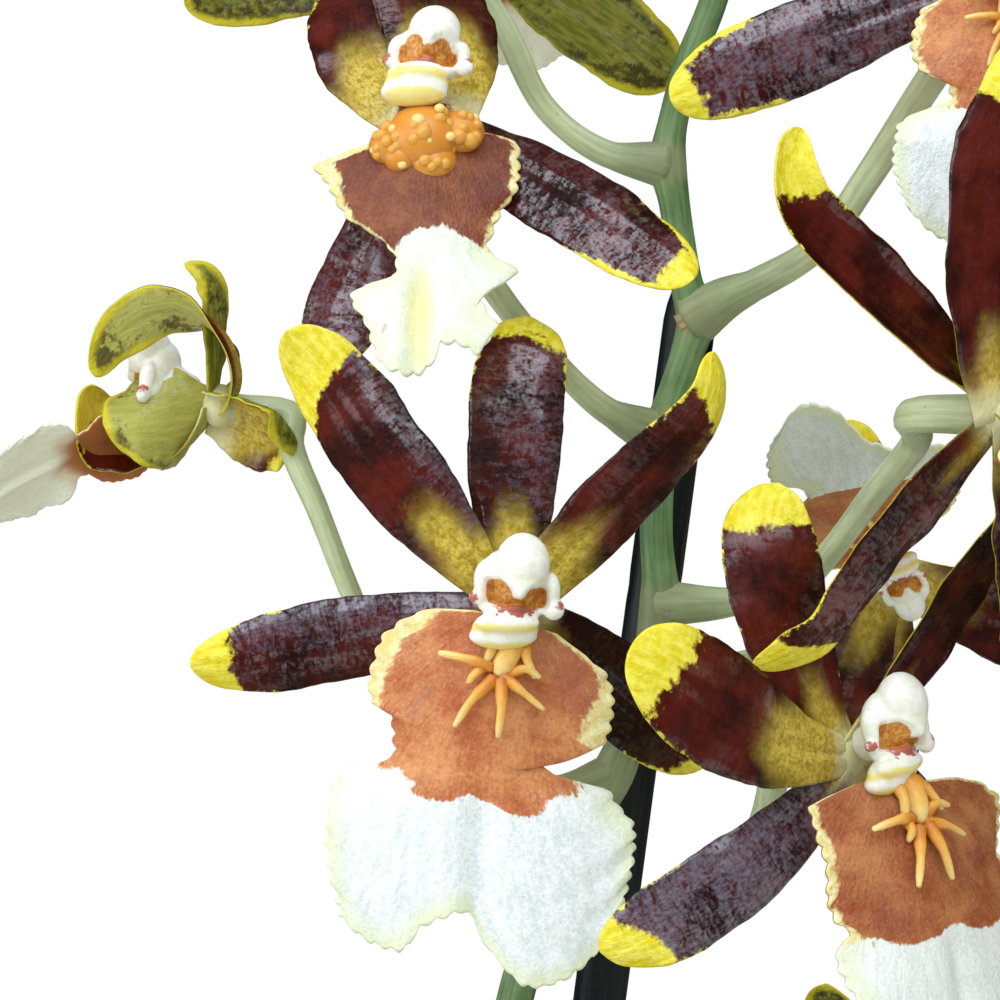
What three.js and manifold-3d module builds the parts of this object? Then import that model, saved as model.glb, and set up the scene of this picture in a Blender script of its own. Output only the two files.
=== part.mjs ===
// Potted colmanara orchid: clay pot, bark, pseudobulbs, strap leaves, and a staked flower spike.
// Millimetres, +Z up, the origin at the middle of the flat underside of the pot.
import * as THREE from 'three';
import { mergeVertices } from 'three/addons/utils/BufferGeometryUtils.js';
import Module from 'manifold-3d';

const wasm = await Module();
wasm.setup();

// Pot
const potHeight = 120;
const potFootRadius = 48;
const potShoulderRadius = 64;
const potRimRadius = 71;
const potRimHeight = 25;
const potWall = 5;
const potFloor = 6;
const potSides = 28;
const drainRadius = 5;
const drainCircle = 26;

// Bark that fills the pot
const barkTop = 103;
const barkChips = 26;
const barkGap = 0.4;

// Plant
const bladeThickness = 0.7;
const leafThickness = 1.4;
const fitGap = 0.35;
const rowAngle = -20;
const columnSides = 6;

// Stake and the clips that hold the spike to it
const stakeRadius = 3.05;
const stakeFoot = new THREE.Vector3(-25.7, 7, 92);
const stakeTop = new THREE.Vector3(22.65, 7, 455.7);
const clipHeights = [182, 270];
const clipHeight = 6;
const clipWall = 1.3;
const clipClearance = 1.3;

// Pseudobulbs: foot on the bark, the flat width, thickness and height above the foot
const bulbs = [
  { name: 'bulb_1', foot: [-1, 11, 94], width: 40, thick: 20, height: 84 },
  { name: 'bulb_2', foot: [21, 3, 94], width: 38, thick: 19, height: 76 },
  { name: 'bulb_3', foot: [41, -4, 95], width: 33, thick: 16, height: 60 },
  { name: 'bulb_4', foot: [-43, 14, 95], width: 28, thick: 13, height: 46 },
];

// Leaves: which bulb, the place along its width, and the arch. A basal leaf starts at the bark.
const leaves = [
  { name: 'leaf_1', bulb: 0, side: -1, turn: -66, lift: 82, bend: -78, length: 255, width: 31 },
  { name: 'leaf_2', bulb: 0, side: 1, turn: 102, lift: 84, bend: -96, length: 262, width: 32 },
  { name: 'leaf_3', bulb: 1, side: -1, turn: -36, lift: 80, bend: -90, length: 236, width: 30 },
  { name: 'leaf_4', bulb: 1, side: 1, turn: 66, lift: 78, bend: -80, length: 244, width: 30 },
  { name: 'leaf_5', bulb: 2, side: 1, turn: 12, lift: 70, bend: -84, length: 210, width: 27 },
  { name: 'leaf_6', bulb: 0, side: -1, basal: true, turn: -142, lift: 76, bend: -88, length: 232, width: 27 },
  { name: 'leaf_7', bulb: 0, side: 1, basal: true, turn: 148, lift: 78, bend: -84, length: 248, width: 28 },
  { name: 'leaf_8', bulb: 1, side: -1, basal: true, turn: -48, lift: 74, bend: -92, length: 206, width: 26 },
  { name: 'leaf_9', bulb: 1, side: 1, basal: true, turn: 38, lift: 78, bend: -86, length: 238, width: 27 },
  { name: 'leaf_10', bulb: 2, side: -1, basal: true, turn: -14, lift: 66, bend: -96, length: 176, width: 24 },
];

// Flower spike: the stem, then the stalk of each flower, as points from the stem outwards
const stemPath = [
  [-31, -4, 92], [-30, -3, 125], [-26, -1, 170], [-20, 0, 230], [-11, 0, 290], [-4, 0, 340], [1.4, 0, 372.5],
  [3.4, 0, 379.3], [7.9, 0, 389.4], [12.4, 0, 398.4], [15.1, 0, 405.2], [17.5, 0, 413], [18.1, 0, 418.7],
  [17.6, 0, 426.8], [18.3, 0, 436.8], [19.4, 0, 441.3], [21.2, 0, 446.9], [22.1, 0, 450.3], [21.1, 0, 454.2],
  [19.6, 0, 463.8], [18.9, 0, 468.3], [19.8, 0, 474], [21.4, 0, 479.6], [23.9, 0, 485.8], [26.5, 0, 495.4],
  [30, 1, 512], [33, 2, 530], [35, 3, 548], [35.5, 4, 562],
];
const stemRadii = [3.1, 2.9, 2.7, 2.5, 2.3, 2.0, 1.8, 1.5, 1.0];
const stalkRadius = 1.35;

// Unopened buds near the tip: place, direction as turn and lift, length
const buds = [
  { at: [34, 2, 528], turn: -20, lift: 35, length: 17 },
  { at: [35, 3, 541], turn: 165, lift: 40, length: 15 },
  { at: [35.4, 3.6, 552], turn: 10, lift: 55, length: 12.5 },
  { at: [35.5, 4, 560], turn: 120, lift: 75, length: 10 },
];

// The five tepals of a flower: degrees, millimetres, and shares of the length.
// turn is the way a tepal points round the face, lift its slope out of the face.
const dorsal = { turn: 90, length: 31, width: 10, lift: 8, bend: -8, curl: -30, cup: -20, widest: 0.62 };
const rightPetal = { turn: 45, length: 30, width: 9.6, lift: 14, bend: -4, curl: 20, sway: -6, cup: 22,
  claw: 0.4, blunt: 3 };
const leftPetal = { ...rightPetal, turn: 135, sway: 6 };
const rightSepal = { turn: -28, length: 31, width: 9.4, lift: -8, bend: -6, sway: -6, cup: -22 };
const leftSepal = { ...rightSepal, turn: 208, sway: 6 };

// Lip outlines: half widths against the distance from the base, and the length against the place across
const plainLip = {
  half: [[0, 4], [1, 8], [3, 11.4], [7, 12.4], [10.5, 11.2], [12.6, 7.8], [14.6, 7.6], [15.6, 11], [18,
    14.6], [23, 15.4], [29, 13.6]],
  foot: [[-1, 29], [-0.8, 31.8], [-0.5, 33.6], [-0.2, 32.6], [0, 31], [0.2, 32.6], [0.5, 33.6], [0.8, 31.8],
    [1, 29]],
};
const frontLip = {
  left: [[0, 4.2], [1, 8.5], [2.8, 11.1], [4.7, 12.5], [7.9, 12.8], [10.1, 12.2], [10.6, 10.5], [12, 9.7],
    [14.5, 9.3], [15.2, 10.5], [15.6, 13.2], [16.9, 14.7], [18.7, 15.2], [21.4, 15.4], [28.5, 14]],
  half: [[0, 4.3], [1.6, 8], [2.7, 10], [5.2, 11.3], [8.1, 11.6], [10.7, 11.2], [11.6, 9.5], [12, 6], [12.4,
    5.1], [14.6, 6.4], [15.1, 9], [15.8, 12], [17.6, 13.3], [19.6, 14.8], [21.7, 15], [27, 14.2], [30.5,
    13]],
  foot: [[-1, 28.5], [-0.8, 30.9], [-0.6, 31.7], [-0.42, 29.6], [-0.12, 28.5], [-0.02, 31.8], [0.1, 34.2],
    [0.25, 36.5], [0.4, 37], [0.6, 36.4], [0.8, 34.5], [1, 30.5]],
  turn: -106, sway: 25,
};
const sideLip = {
  left: [[0, 5], [0.5, 10.9], [4.3, 11.1], [6.7, 11.3], [9.7, 11.8], [11.6, 11.8], [13.2, 10.6], [13.7,
    12.1], [14.7, 12.7], [16.2, 13.1], [22, 13.2], [28, 12]],
  half: [[0, 3.4], [1.7, 4], [2, 7], [2.4, 9.6], [3.6, 13.5], [5.8, 15.6], [8.6, 14.4], [11, 13], [13.6,
    12.6], [14.6, 14], [18, 15], [23, 15.4], [28, 13.6]],
  foot: [[-1, 29], [-0.8, 31.8], [-0.5, 33.6], [-0.2, 32.6], [0, 31], [0.2, 32.6], [0.5, 33.6], [0.8, 31.8],
    [1, 29]],
};
const foldedLip = {
  left: [[0, 4], [2.8, 4.6], [4.4, 9.5], [5.3, 12.9], [7.2, 11.6], [11.3, 8.7], [13.2, 5.5], [14.5, 4],
    [16.2, 3], [17.6, 3.4], [18.4, 6.7], [19.6, 8], [22.3, 6.2], [25.3, 5]],
  half: [[0, 3.6], [2.2, 4.4], [2.9, 8.7], [3.4, 10.4], [6.4, 10.5], [8.7, 10.2], [10.2, 8.8], [12.5, 7.7],
    [14.4, 7], [15.2, 7.8], [16.9, 10.5], [17.9, 8.6], [19.9, 6.6], [20.9, 6.9], [22.4, 8.3], [23.7, 7.4]],
  foot: [[-1, 25.3], [-0.78, 26.6], [-0.36, 27.2], [0.04, 26.8], [0.2, 25.9], [0.3, 24.4], [0.55, 24.5],
    [0.84, 25.3], [1, 23.7]],
};
const backLip = {
  half: [[0, 4], [1, 8], [3, 11.4], [7, 12.4], [10.5, 10.4], [12.6, 8], [14.6, 7.6], [15.6, 9.4], [18,
    11.6], [23, 12.4], [29, 11]],
  foot: [[-1, 22], [-0.8, 24.5], [-0.5, 26], [-0.2, 25], [0, 26], [0.2, 31], [0.45, 35], [0.6, 35.5], [0.8,
    33.5], [1, 27]],
};
const lipRunLength = 37;
const lipArch = [[0, 0.08], [0.2, 0.18], [0.4, 0.2], [0.55, 0.1], [1, 0.1]];

// Flowers: place of the face, face as yaw, pitch and roll in degrees, and the stalk from the stem
const blooms = [
  {
    name: 'bloom_1', at: [1.5, -28, 419.2], face: [0, 0, 0],
    tepals: [
      { ...dorsal, turn: 93, length: 32, width: 9.8, lift: 5, bend: -25, curl: -40, sway: -11, hook: -6,
        twist: -5, cup: -20, claw: 0.55, widest: 0.59, blunt: 3.5 },
      { ...rightPetal, turn: 47, length: 33.7, width: 7.4, lift: 10.6, bend: 17.6, curl: -29.8, sway: -2.7,
        hook: 49.3, twist: 40.2, cup: -24, claw: 0.67, widest: 0.43, blunt: 2.45 },
      { ...leftPetal, turn: 136, length: 36.6, width: 10.1, lift: 8.5, bend: -34, curl: 35, sway: -15.7,
        hook: 9.2, twist: -24.3, cup: -30, claw: 0.36, widest: 0.54, blunt: 3.8 },
      { ...leftSepal, turn: 191, length: 33, width: 8.8, lift: -4, bend: 10, curl: -6, sway: 0, hook: -8,
        twist: -14, cup: -30, claw: 0.46, widest: 0.56, blunt: 2.6 },
      { ...rightSepal, turn: -38, length: 27, width: 9.4, lift: -14, widest: 0.52 },
    ],
    lip: frontLip, lipAt: [0, -1.2, 3],
    stalk: [[15.8, 0, 407.5], [11, -6, 408], [5, -14, 413]],
  },
  {
    name: 'bloom_2', at: [34.7, -30, 404.7], face: [38, 8, 8],
    tepals: [
      { ...dorsal, turn: 124.7, length: 29.9, width: 9.8, lift: 5, bend: -13, curl: 5, sway: -55, hook: -24,
        twist: -50, cup: -15, claw: 0.41, widest: 0.61, blunt: 3.4 },
      { ...rightPetal, turn: 40.5, length: 38, width: 7, lift: 14.8, bend: 11.6, curl: 19.5, sway: 16, hook:
        13, twist: 34, cup: 14, claw: 0.54, widest: 0.63, blunt: 3.2 },
      { ...leftPetal, turn: 169, length: 34.7, width: 11.5, lift: 15.5, bend: -10.6, curl: -17.7, sway:
        -35.8, hook: 11, twist: -6, cup: -13.5, claw: 0.35, widest: 0.65, blunt: 2.8 },
      { ...leftSepal, turn: 211, length: 34.2, width: 8.3, lift: 6.7, bend: -48, curl: -34, sway: -15, hook:
        17, twist: 17, cup: -17, claw: 0.43, widest: 0.58, blunt: 3 },
      { ...rightSepal, turn: -38, length: 33 },
    ],
    lip: sideLip, lipAt: [0, -2, 4.5], lipLift: 20, lipBend: -28,
    stalk: [[4.5, 0, 381.5], [11, -4, 381.6], [21.5, -10, 387.8], [27, -14, 394]],
  },
  {
    name: 'bloom_3', at: [-7.2, -22, 469.2], face: [-2, 38, 0],
    tepals: [
      { ...dorsal, turn: 94, length: 30, lift: 0, bend: -10, curl: -20 },
      { ...rightPetal, turn: 74, length: 28.1, width: 12.5, lift: 8, bend: 2, curl: -14, sway: 59, twist:
        23.5, cup: -10, claw: 0.73, widest: 0.51 },
      { ...leftPetal, turn: 135, length: 27.3, width: 12.5, lift: 3, bend: -4, curl: -12, sway: -55, twist:
        -16, cup: -7, claw: 0.69, widest: 0.53, blunt: 2.9 },
      { ...leftSepal, turn: 227.4, length: 29.3, width: 9.1, lift: -48, bend: 36.7, curl: -2.4, sway: 30.5,
        hook: -9.9, twist: 4.8, cup: -18.6, claw: 0.42, widest: 0.64, blunt: 2.8 },
      { ...rightSepal, turn: -32, length: 33, width: 10.4, lift: -4, bend: -6, sway: -8, cup: -20, blunt: 3
        },
    ],
    lip: foldedLip, lipScale: 1.08, lipWide: 0.82, lipAt: [0, -1.5, 3], lipLift: -14,
    stalk: [[16.9, 0, 437.7], [11, -6, 440.4], [4.3, -11, 446.6], [-1.1, -14, 453.2]],
  },
  {
    name: 'bloom_4', at: [-31.4, -8, 440.4], face: [-97, 8, 0],
    tepals: [
      { ...dorsal, turn: 28.2, length: 28.8, width: 6.9, lift: -58.4, bend: 263.5, curl: -19.9, sway: 118.6,
        hook: -34, twist: 50.3, cup: -1.2, claw: 0.54, widest: 0.5, blunt: 2.1 },
      { ...rightPetal, turn: 63.8, length: 17.6, width: 4.4, lift: -8.3, bend: 26, curl: 72.6, sway: 16.2,
        hook: 2.6, twist: -40.9, cup: 15, claw: 0.56, widest: 0.43, blunt: 2.2 },
      { ...leftPetal, turn: -29, length: 12.3, width: 12.4, lift: 45, bend: 19.5, curl: -2, sway: 2.5, hook:
        -40, twist: 85, cup: 43, claw: 0.35, widest: 0.42, blunt: 2.3 },
      { ...leftSepal, turn: -102.7, length: 21.4, width: 11.6, lift: 6.2, bend: 173.3, curl: 17, sway:
        -45.8, hook: 59.6, twist: -6.4, cup: 16, claw: 0.47, widest: 0.75, blunt: 2.95 },
      { ...rightSepal, turn: -39.5, length: 12.9, width: 11.2, lift: -71.4, bend: -2, curl: 93.8, sway:
        11.5, hook: -69, twist: 12.3, cup: 60, claw: 0.62, widest: 0.53, blunt: 1.9 },
    ],
    lip: plainLip, lipScale: 0.65, lipWide: 0.6, lipAt: [-1.2, -3.9, 6], lipTurn: -36, lipLift: 60, lipBend:
      -42, lipTwist: -14,
    stalk: [[12.6, 0, 399.3], [6.7, -3, 397.8], [-3.3, -6, 399], [-10.8, -10, 408.4], [-16.1, -12, 420.3],
      [-19.5, -12, 428.9], [-22.5, -10.5, 436]],
  },
  {
    name: 'bloom_5', at: [50.5, -27, 483], face: [0, 5, 0],
    tepals: [
      { ...dorsal, turn: 88, length: 32.5, width: 10.2 },
      { ...rightPetal, turn: 43, length: 27.5 },
      { ...leftPetal, turn: 141, length: 31.5, width: 11, curl: 10, widest: 0.68 },
      { ...leftSepal, turn: 197, length: 35.5, lift: -4, twist: -10, widest: 0.62, blunt: 3 },
      { ...rightSepal, turn: -22, length: 33, lift: -6 },
    ],
    lip: plainLip, lipScale: 0.78, lipAt: [0, -2.5, 3],
    stalk: [[22, 0, 450.5], [25.1, -2, 452.5], [28.6, -5, 454], [34.3, -11, 457.4], [38.9, -14, 464], [44.5,
      -16, 473]],
  },
  {
    name: 'bloom_6', at: [47.6, -40, 438.2], face: [55, 0, 0],
    tepals: [
      { ...dorsal, turn: 111, length: 37.9, width: 14.6, lift: 3, bend: 24, curl: -37, sway: -31, hook: 26,
        twist: -45, cup: -32, claw: 0.6, widest: 0.48, blunt: 3.4 },
      { ...rightPetal, turn: 40, length: 26 },
      { ...leftPetal, turn: 128, length: 35.6, width: 7.6, lift: -34, bend: 13, curl: 32, sway: 5, hook:
        -65, twist: -36, cup: 50, claw: 0.5, widest: 0.48, blunt: 2.5 },
      { ...leftSepal, turn: 233, length: 34.5, width: 7.8, lift: -29, bend: -1, curl: -41, sway: 22, hook:
        -23, twist: 0, cup: -8, claw: 0.42, widest: 0.46, blunt: 1.9 },
      { ...rightSepal, turn: -53, length: 30, lift: -6 },
    ],
    lip: plainLip, lipAt: [0, -1.5, 3], lipLift: 50, lipBend: -16,
    stalk: [[18, 0, 418.3], [25.4, -2, 418.5], [32.3, -6, 420.2], [35.8, -10, 424.5], [39.3, -16, 430.5],
      [42, -26, 436]],
  },
  {
    name: 'bloom_7', at: [48.1, 24, 421.1], face: [8, -8, 207],
    tepals: [
      { ...dorsal, turn: 65, length: 31, width: 9.8, lift: 0, bend: -6, curl: 0 },
      { ...rightPetal, turn: 44, length: 28.5, lift: 0, curl: 0, claw: 0.5 },
      { ...leftPetal, turn: 129, length: 32.5, width: 10.8, lift: 4, curl: 0, claw: 0.5 },
      { ...leftSepal, turn: 252, length: 20, width: 8.4, lift: -20 },
      { ...rightSepal, turn: -92, length: 20, width: 8.4, lift: -30 },
    ],
    lip: backLip, lipScale: 0.92, lipWide: 1.04, lipAt: [1.6, -3.5, 3], lipTurn: -95, lipLift: 40, lipBend:
      18, lipTwist: -34, columnScale: 0.7,
    stalk: [[17.7, 0, 414.2], [24, 4, 411.5], [33, 18, 412], [42, 30, 416.5]],
  },
  {
    name: 'bloom_8', at: [-2.9, 4, 494.4], face: [172, 34, 4],
    tepals: [
      { ...dorsal, turn: 90, length: 29.5, lift: 4, curl: -20 },
      { ...rightPetal, turn: 16, length: 30.5, width: 10.5, lift: 8, bend: -6, curl: 0, sway: 0 },
      { ...leftPetal, turn: 149, length: 27.5, width: 10.5, lift: 8, bend: -6, curl: 0, sway: 0 },
      { ...leftSepal, turn: 211, length: 28.5, width: 11, lift: -6, sway: 0, widest: 0.6, blunt: 2.8 },
      { ...rightSepal, turn: -12, length: 34.5, width: 9.4, lift: -6, sway: 0, blunt: 2.8 },
    ],
    lip: plainLip, lipScale: 0.7, lipAt: [0, -1.5, 3], lipLift: 35,
    stalk: [[18.5, 0, 467.8], [11.3, -1, 469.2], [5, -2, 474], [0.6, -4, 482]],
  },
  {
    name: 'bloom_9', at: [4, -22, 531], face: [-24, 12, 0],
    tepals: [dorsal, rightPetal, leftPetal, leftSepal, rightSepal],
    lip: plainLip, lipScale: 0.9, lipAt: [0, -1.5, 3],
    stalk: [[27, 0, 497], [20, -3, 500], [12, -8, 512]],
  },
  {
    name: 'bloom_10', at: [-30, 24, 334], face: [-158, 6, 0],
    tepals: [dorsal, rightPetal, leftPetal, leftSepal, rightSepal],
    lip: plainLip, lipScale: 0.95, lipAt: [0, -1.5, 3],
    stalk: [[-9.6, 0, 300], [-14, 4, 304], [-22, 10, 314]],
  },
  {
    name: 'bloom_11', at: [42, 26, 340], face: [148, 6, 0],
    tepals: [dorsal, rightPetal, leftPetal, leftSepal, rightSepal],
    lip: plainLip, lipScale: 0.95, lipAt: [0, -1.5, 3],
    stalk: [[-3.4, 0, 345], [6, -4, 338], [22, 2, 332]],
  },
];

const material = (color, roughness) => new THREE.MeshStandardMaterial({ color, roughness });
const clay = material(0xb4653f, 0.85);
const bark = material(0x6d4a30, 0.95);
const bulbGreen = material(0x7f9a4e, 0.5);
const leafGreen = material(0x3f7a35, 0.45);
const stemGreen = material(0x6f8f5a, 0.5);
const tepalMaroon = material(0x4a1510, 0.35);
const lipBrown = material(0xb5602f, 0.5);
const columnWhite = material(0xf2ecd8, 0.5);
const stakeDark = material(0x14262a, 0.5);
const clipGreen = material(0x4f8a3c, 0.4);
const rootGrey = material(0xb9b59c, 0.8);

const { degToRad, lerp, clamp } = THREE.MathUtils;

// Seeded random numbers from 0 to 1
let seed = 4711;
function random() {
  seed = (seed * 1664525 + 1013904223) % 4294967296;
  return seed / 4294967296;
}

function smooth(x) {
  const t = clamp(x, 0, 1);
  return t * t * (3 - 2 * t);
}

// A smooth curve through [x, y] keys that never overshoots them
function curveThrough(keys, x) {
  const at = clamp(x, keys[0][0], keys[keys.length - 1][0]);
  const slope = (i) => (keys[i + 1][1] - keys[i][1]) / (keys[i + 1][0] - keys[i][0]);
  const tangent = (i) => {
    if (i === 0) return slope(0);
    if (i === keys.length - 1) return slope(i - 1);
    const [a, b] = [slope(i - 1), slope(i)];
    return a * b <= 0 ? 0 : (2 * a * b) / (a + b);
  };
  let i = 0;
  while (i < keys.length - 2 && at > keys[i + 1][0]) i += 1;
  const width = keys[i + 1][0] - keys[i][0];
  const t = (at - keys[i][0]) / width;
  return (2 * t ** 3 - 3 * t ** 2 + 1) * keys[i][1] + (t ** 3 - 2 * t ** 2 + t) * width * tangent(i)
    + (-2 * t ** 3 + 3 * t ** 2) * keys[i + 1][1] + (t ** 3 - t ** 2) * width * tangent(i + 1);
}

// Solid from a geometry, and back
function toSolid(geometry) {
  geometry.deleteAttribute('normal');
  geometry.deleteAttribute('uv');
  const merged = mergeVertices(geometry, 1e-4);
  const triVerts = new Uint32Array(merged.index.array);
  const vertProperties = new Float32Array(merged.attributes.position.array);
  return new wasm.Manifold(new wasm.Mesh({ numProp: 3, vertProperties, triVerts }));
}

function toGeometry(solid) {
  const mesh = solid.getMesh();
  const geometry = new THREE.BufferGeometry();
  geometry.setAttribute('position', new THREE.BufferAttribute(new Float32Array(mesh.vertProperties), 3));
  geometry.setIndex(new THREE.BufferAttribute(new Uint32Array(mesh.triVerts), 1));
  geometry.computeVertexNormals();
  return geometry;
}

const largest = (solid) => solid.decompose()
  .reduce((best, piece) => (piece.volume() > best.volume() ? piece : best));

const joined = (geometries) => geometries.map(toSolid).reduce((whole, piece) => whole.add(piece));

function fromTriangles(points, faces) {
  const geometry = new THREE.BufferGeometry();
  const numbers = points.flatMap((p) => [p.x, p.y, p.z]);
  geometry.setAttribute('position', new THREE.Float32BufferAttribute(numbers, 3));
  geometry.setIndex(faces);
  return geometry;
}

// A sheet given as rows of { point, normal }, thickened both ways and closed round its edge
function slab(rows, thickness) {
  const across = rows[0].length;
  const count = rows.length * across;
  const face = (side) => rows.flat()
    .map(({ point, normal }) => point.clone().addScaledVector(normal, (side * thickness) / 2));
  const points = [...face(1), ...face(-1)];
  const faces = [];
  for (let i = 0; i < rows.length - 1; i += 1) {
    for (let j = 0; j < across - 1; j += 1) {
      const a = i * across + j;
      const [b, c, d] = [a + 1, a + across, a + across + 1];
      faces.push(a, c, b, b, c, d, a + count, b + count, c + count, b + count, d + count, c + count);
    }
  }
  const wall = (a, b) => faces.push(a, b, a + count, b, b + count, a + count);
  for (let j = 0; j < across - 1; j += 1) {
    wall(j, j + 1);
    const end = (rows.length - 1) * across + j;
    wall(end + 1, end);
  }
  for (let i = 0; i < rows.length - 1; i += 1) {
    wall((i + 1) * across, i * across);
    wall(i * across + across - 1, (i + 1) * across + across - 1);
  }
  return fromTriangles(points, faces);
}

// A closed tube of round sections along points, its radius following a list
function taperedTube(points, radii, sides, sections) {
  const curve = new THREE.CatmullRomCurve3(points.map((p) => new THREE.Vector3(...p)), false, 'centripetal');
  const frames = curve.computeFrenetFrames(sections);
  const vertices = [];
  const faces = [];
  for (let i = 0; i <= sections; i += 1) {
    const centre = curve.getPointAt(i / sections);
    const place = (i / sections) * (radii.length - 1);
    const step = Math.min(Math.floor(place), radii.length - 2);
    const radius = lerp(radii[step], radii[step + 1], place - step);
    for (let j = 0; j < sides; j += 1) {
      const angle = (2 * Math.PI * j) / sides;
      vertices.push(centre.clone()
        .addScaledVector(frames.normals[i], radius * Math.cos(angle))
        .addScaledVector(frames.binormals[i], radius * Math.sin(angle)));
    }
  }
  for (let i = 0; i < sections; i += 1) {
    for (let j = 0; j < sides; j += 1) {
      const [a, b] = [i * sides + j, i * sides + ((j + 1) % sides)];
      faces.push(a, b, a + sides, b, b + sides, a + sides);
    }
  }
  const last = sections * sides;
  for (let j = 1; j < sides - 1; j += 1) {
    faces.push(0, j + 1, j, last, last + j, last + j + 1);
  }
  return fromTriangles(vertices, faces);
}

function ellipsoid(at, radii, around = 8, up = 5) {
  return new THREE.SphereGeometry(1, around, up).scale(...radii).translate(...at);
}

const heading = (round, slope) => new THREE.Vector3(
  Math.cos(slope) * Math.cos(round), Math.cos(slope) * Math.sin(round), Math.sin(slope));

// The run of a blade: centre, side and normal at each share of its length.
// It starts at turn and lift, bends and sways along, curls and hooks near the tip, and twists about itself.
function run({ turn, length, lift, bend = 0, curl = 0, sway = 0, hook = 0, twist = 0 }, shares) {
  const steps = 48;
  const tipFrom = 0.7;
  const direction = (u) => {
    const nearTip = smooth((u - tipFrom) / (1 - tipFrom));
    const round = degToRad(turn + sway * u + hook * nearTip);
    const slope = degToRad(lift + bend * u + curl * nearTip);
    return {
      ahead: heading(round, slope),
      side: new THREE.Vector3(-Math.sin(round), Math.cos(round), 0),
    };
  };
  const centres = [new THREE.Vector3()];
  for (let i = 0; i < steps; i += 1) {
    const { ahead } = direction((i + 0.5) / steps);
    centres.push(centres[i].clone().addScaledVector(ahead, length / steps));
  }
  return shares.map((u) => {
    const { ahead, side } = direction(u);
    const normal = ahead.clone().cross(side);
    const turned = degToRad(twist * u);
    const step = Math.min(Math.floor(u * steps), steps - 1);
    return {
      centre: centres[step].clone().lerp(centres[step + 1], u * steps - step),
      side: side.clone().multiplyScalar(Math.cos(turned)).addScaledVector(normal, Math.sin(turned)),
      normal: normal.clone().multiplyScalar(Math.cos(turned)).addScaledVector(side, -Math.sin(turned)),
    };
  });
}

// Half the width of a tepal at a share of its length, as a share of the widest
function tepalOutline(u, { claw = 0.5, widest = 0.56, blunt = 2.6 }) {
  if (u < widest) return claw + (1 - claw) * Math.sin((Math.PI / 2) * (u / widest)) ** 1.5;
  return Math.max(Math.sqrt(Math.max(1 - ((u - widest) / (1 - widest)) ** blunt, 0)), 0.04);
}

const tepalShares = [0, 0.22, 0.5, 0.76, 0.93, 1];
const rolledShares = [0, 0.12, 0.24, 0.36, 0.48, 0.6, 0.72, 0.84, 0.94, 1];
const rolledBend = 90;
const tepalAcross = [-1, 0, 1];

// A tepal: an arc across, along its run
function tepal(spec) {
  const cup = degToRad(spec.cup || 0.01);
  const shares = spec.bend > rolledBend ? rolledShares : tepalShares;
  const rows = run(spec, shares).map(({ centre, side, normal }, i) => {
    const half = (spec.width / 2) * tepalOutline(shares[i], spec);
    return tepalAcross.map((v) => ({
      point: centre.clone()
        .addScaledVector(side, (half * Math.sin(cup * v)) / cup)
        .addScaledVector(normal, (half * (1 - Math.cos(cup * v))) / cup),
      normal: normal.clone().multiplyScalar(Math.cos(cup * v)).addScaledVector(side, -Math.sin(cup * v)),
    }));
  });
  return slab(rows, bladeThickness);
}

// The five tepals on their heart, kept clear of the lip, the column and the stalk
function tepals(bloom) {
  const heart = ellipsoid([0, 0, -0.9], [2.4, 2.4, 1.9], 6, 4);
  const toFlower = bloomFrame(bloom).turned.matrixWorld.clone().invert();
  const others = [lip(bloom, fitGap), column(bloom, fitGap), stalkTube(bloom, fitGap).applyMatrix4(toFlower)];
  const whole = joined([heart, ...bloom.tepals.map(tepal)]);
  return toGeometry(largest(others.reduce((rest, other) => rest.subtract(toSolid(other)), whole)));
}

const lipShares = [0, 0.05, 0.18, 0.33, 0.4, 0.46, 0.52, 0.66, 0.86, 1];
const lipAcross = { fine: [-1, -0.66, -0.33, 0, 0.33, 0.66, 1], plain: [-1, -0.55, 0, 0.55, 1] };

// The lip: a fiddle-shaped sheet hanging from the column foot, its sides bent back
function lip(bloom, grow = 0) {
  const { lip: shape, lipScale = 1, lipWide = 1, lipAt, lipLift = 8, lipBend = -12, lipTwist = 0 } = bloom;
  const spec = {
    turn: bloom.lipTurn ?? shape.turn ?? -90, sway: shape.sway ?? 0, length: lipRunLength * lipScale,
    lift: lipLift, bend: lipBend, twist: lipTwist,
  };
  const start = new THREE.Vector3(...lipAt);
  const edge = { left: curveThrough(shape.foot, -1), right: curveThrough(shape.foot, 1) };
  const rows = lipShares.map((u) => lipAcross[shape === frontLip ? 'fine' : 'plain'].map((v) => {
    const along = (u * curveThrough(shape.foot, v)) / lipRunLength;
    const [{ centre, side, normal }] = run(spec, [along]);
    const keys = v < 0 ? shape.left ?? shape.half : shape.half;
    const half = curveThrough(keys, u * (v < 0 ? edge.left : edge.right)) * lipScale * lipWide + grow;
    const back = v * v * half * curveThrough(lipArch, along);
    return {
      point: centre.clone().add(start).addScaledVector(side, half * v).addScaledVector(normal, -back),
      normal: normal.clone(),
    };
  }));
  return toGeometry(toSolid(slab(rows, bladeThickness + 2 * grow)));
}

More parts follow.
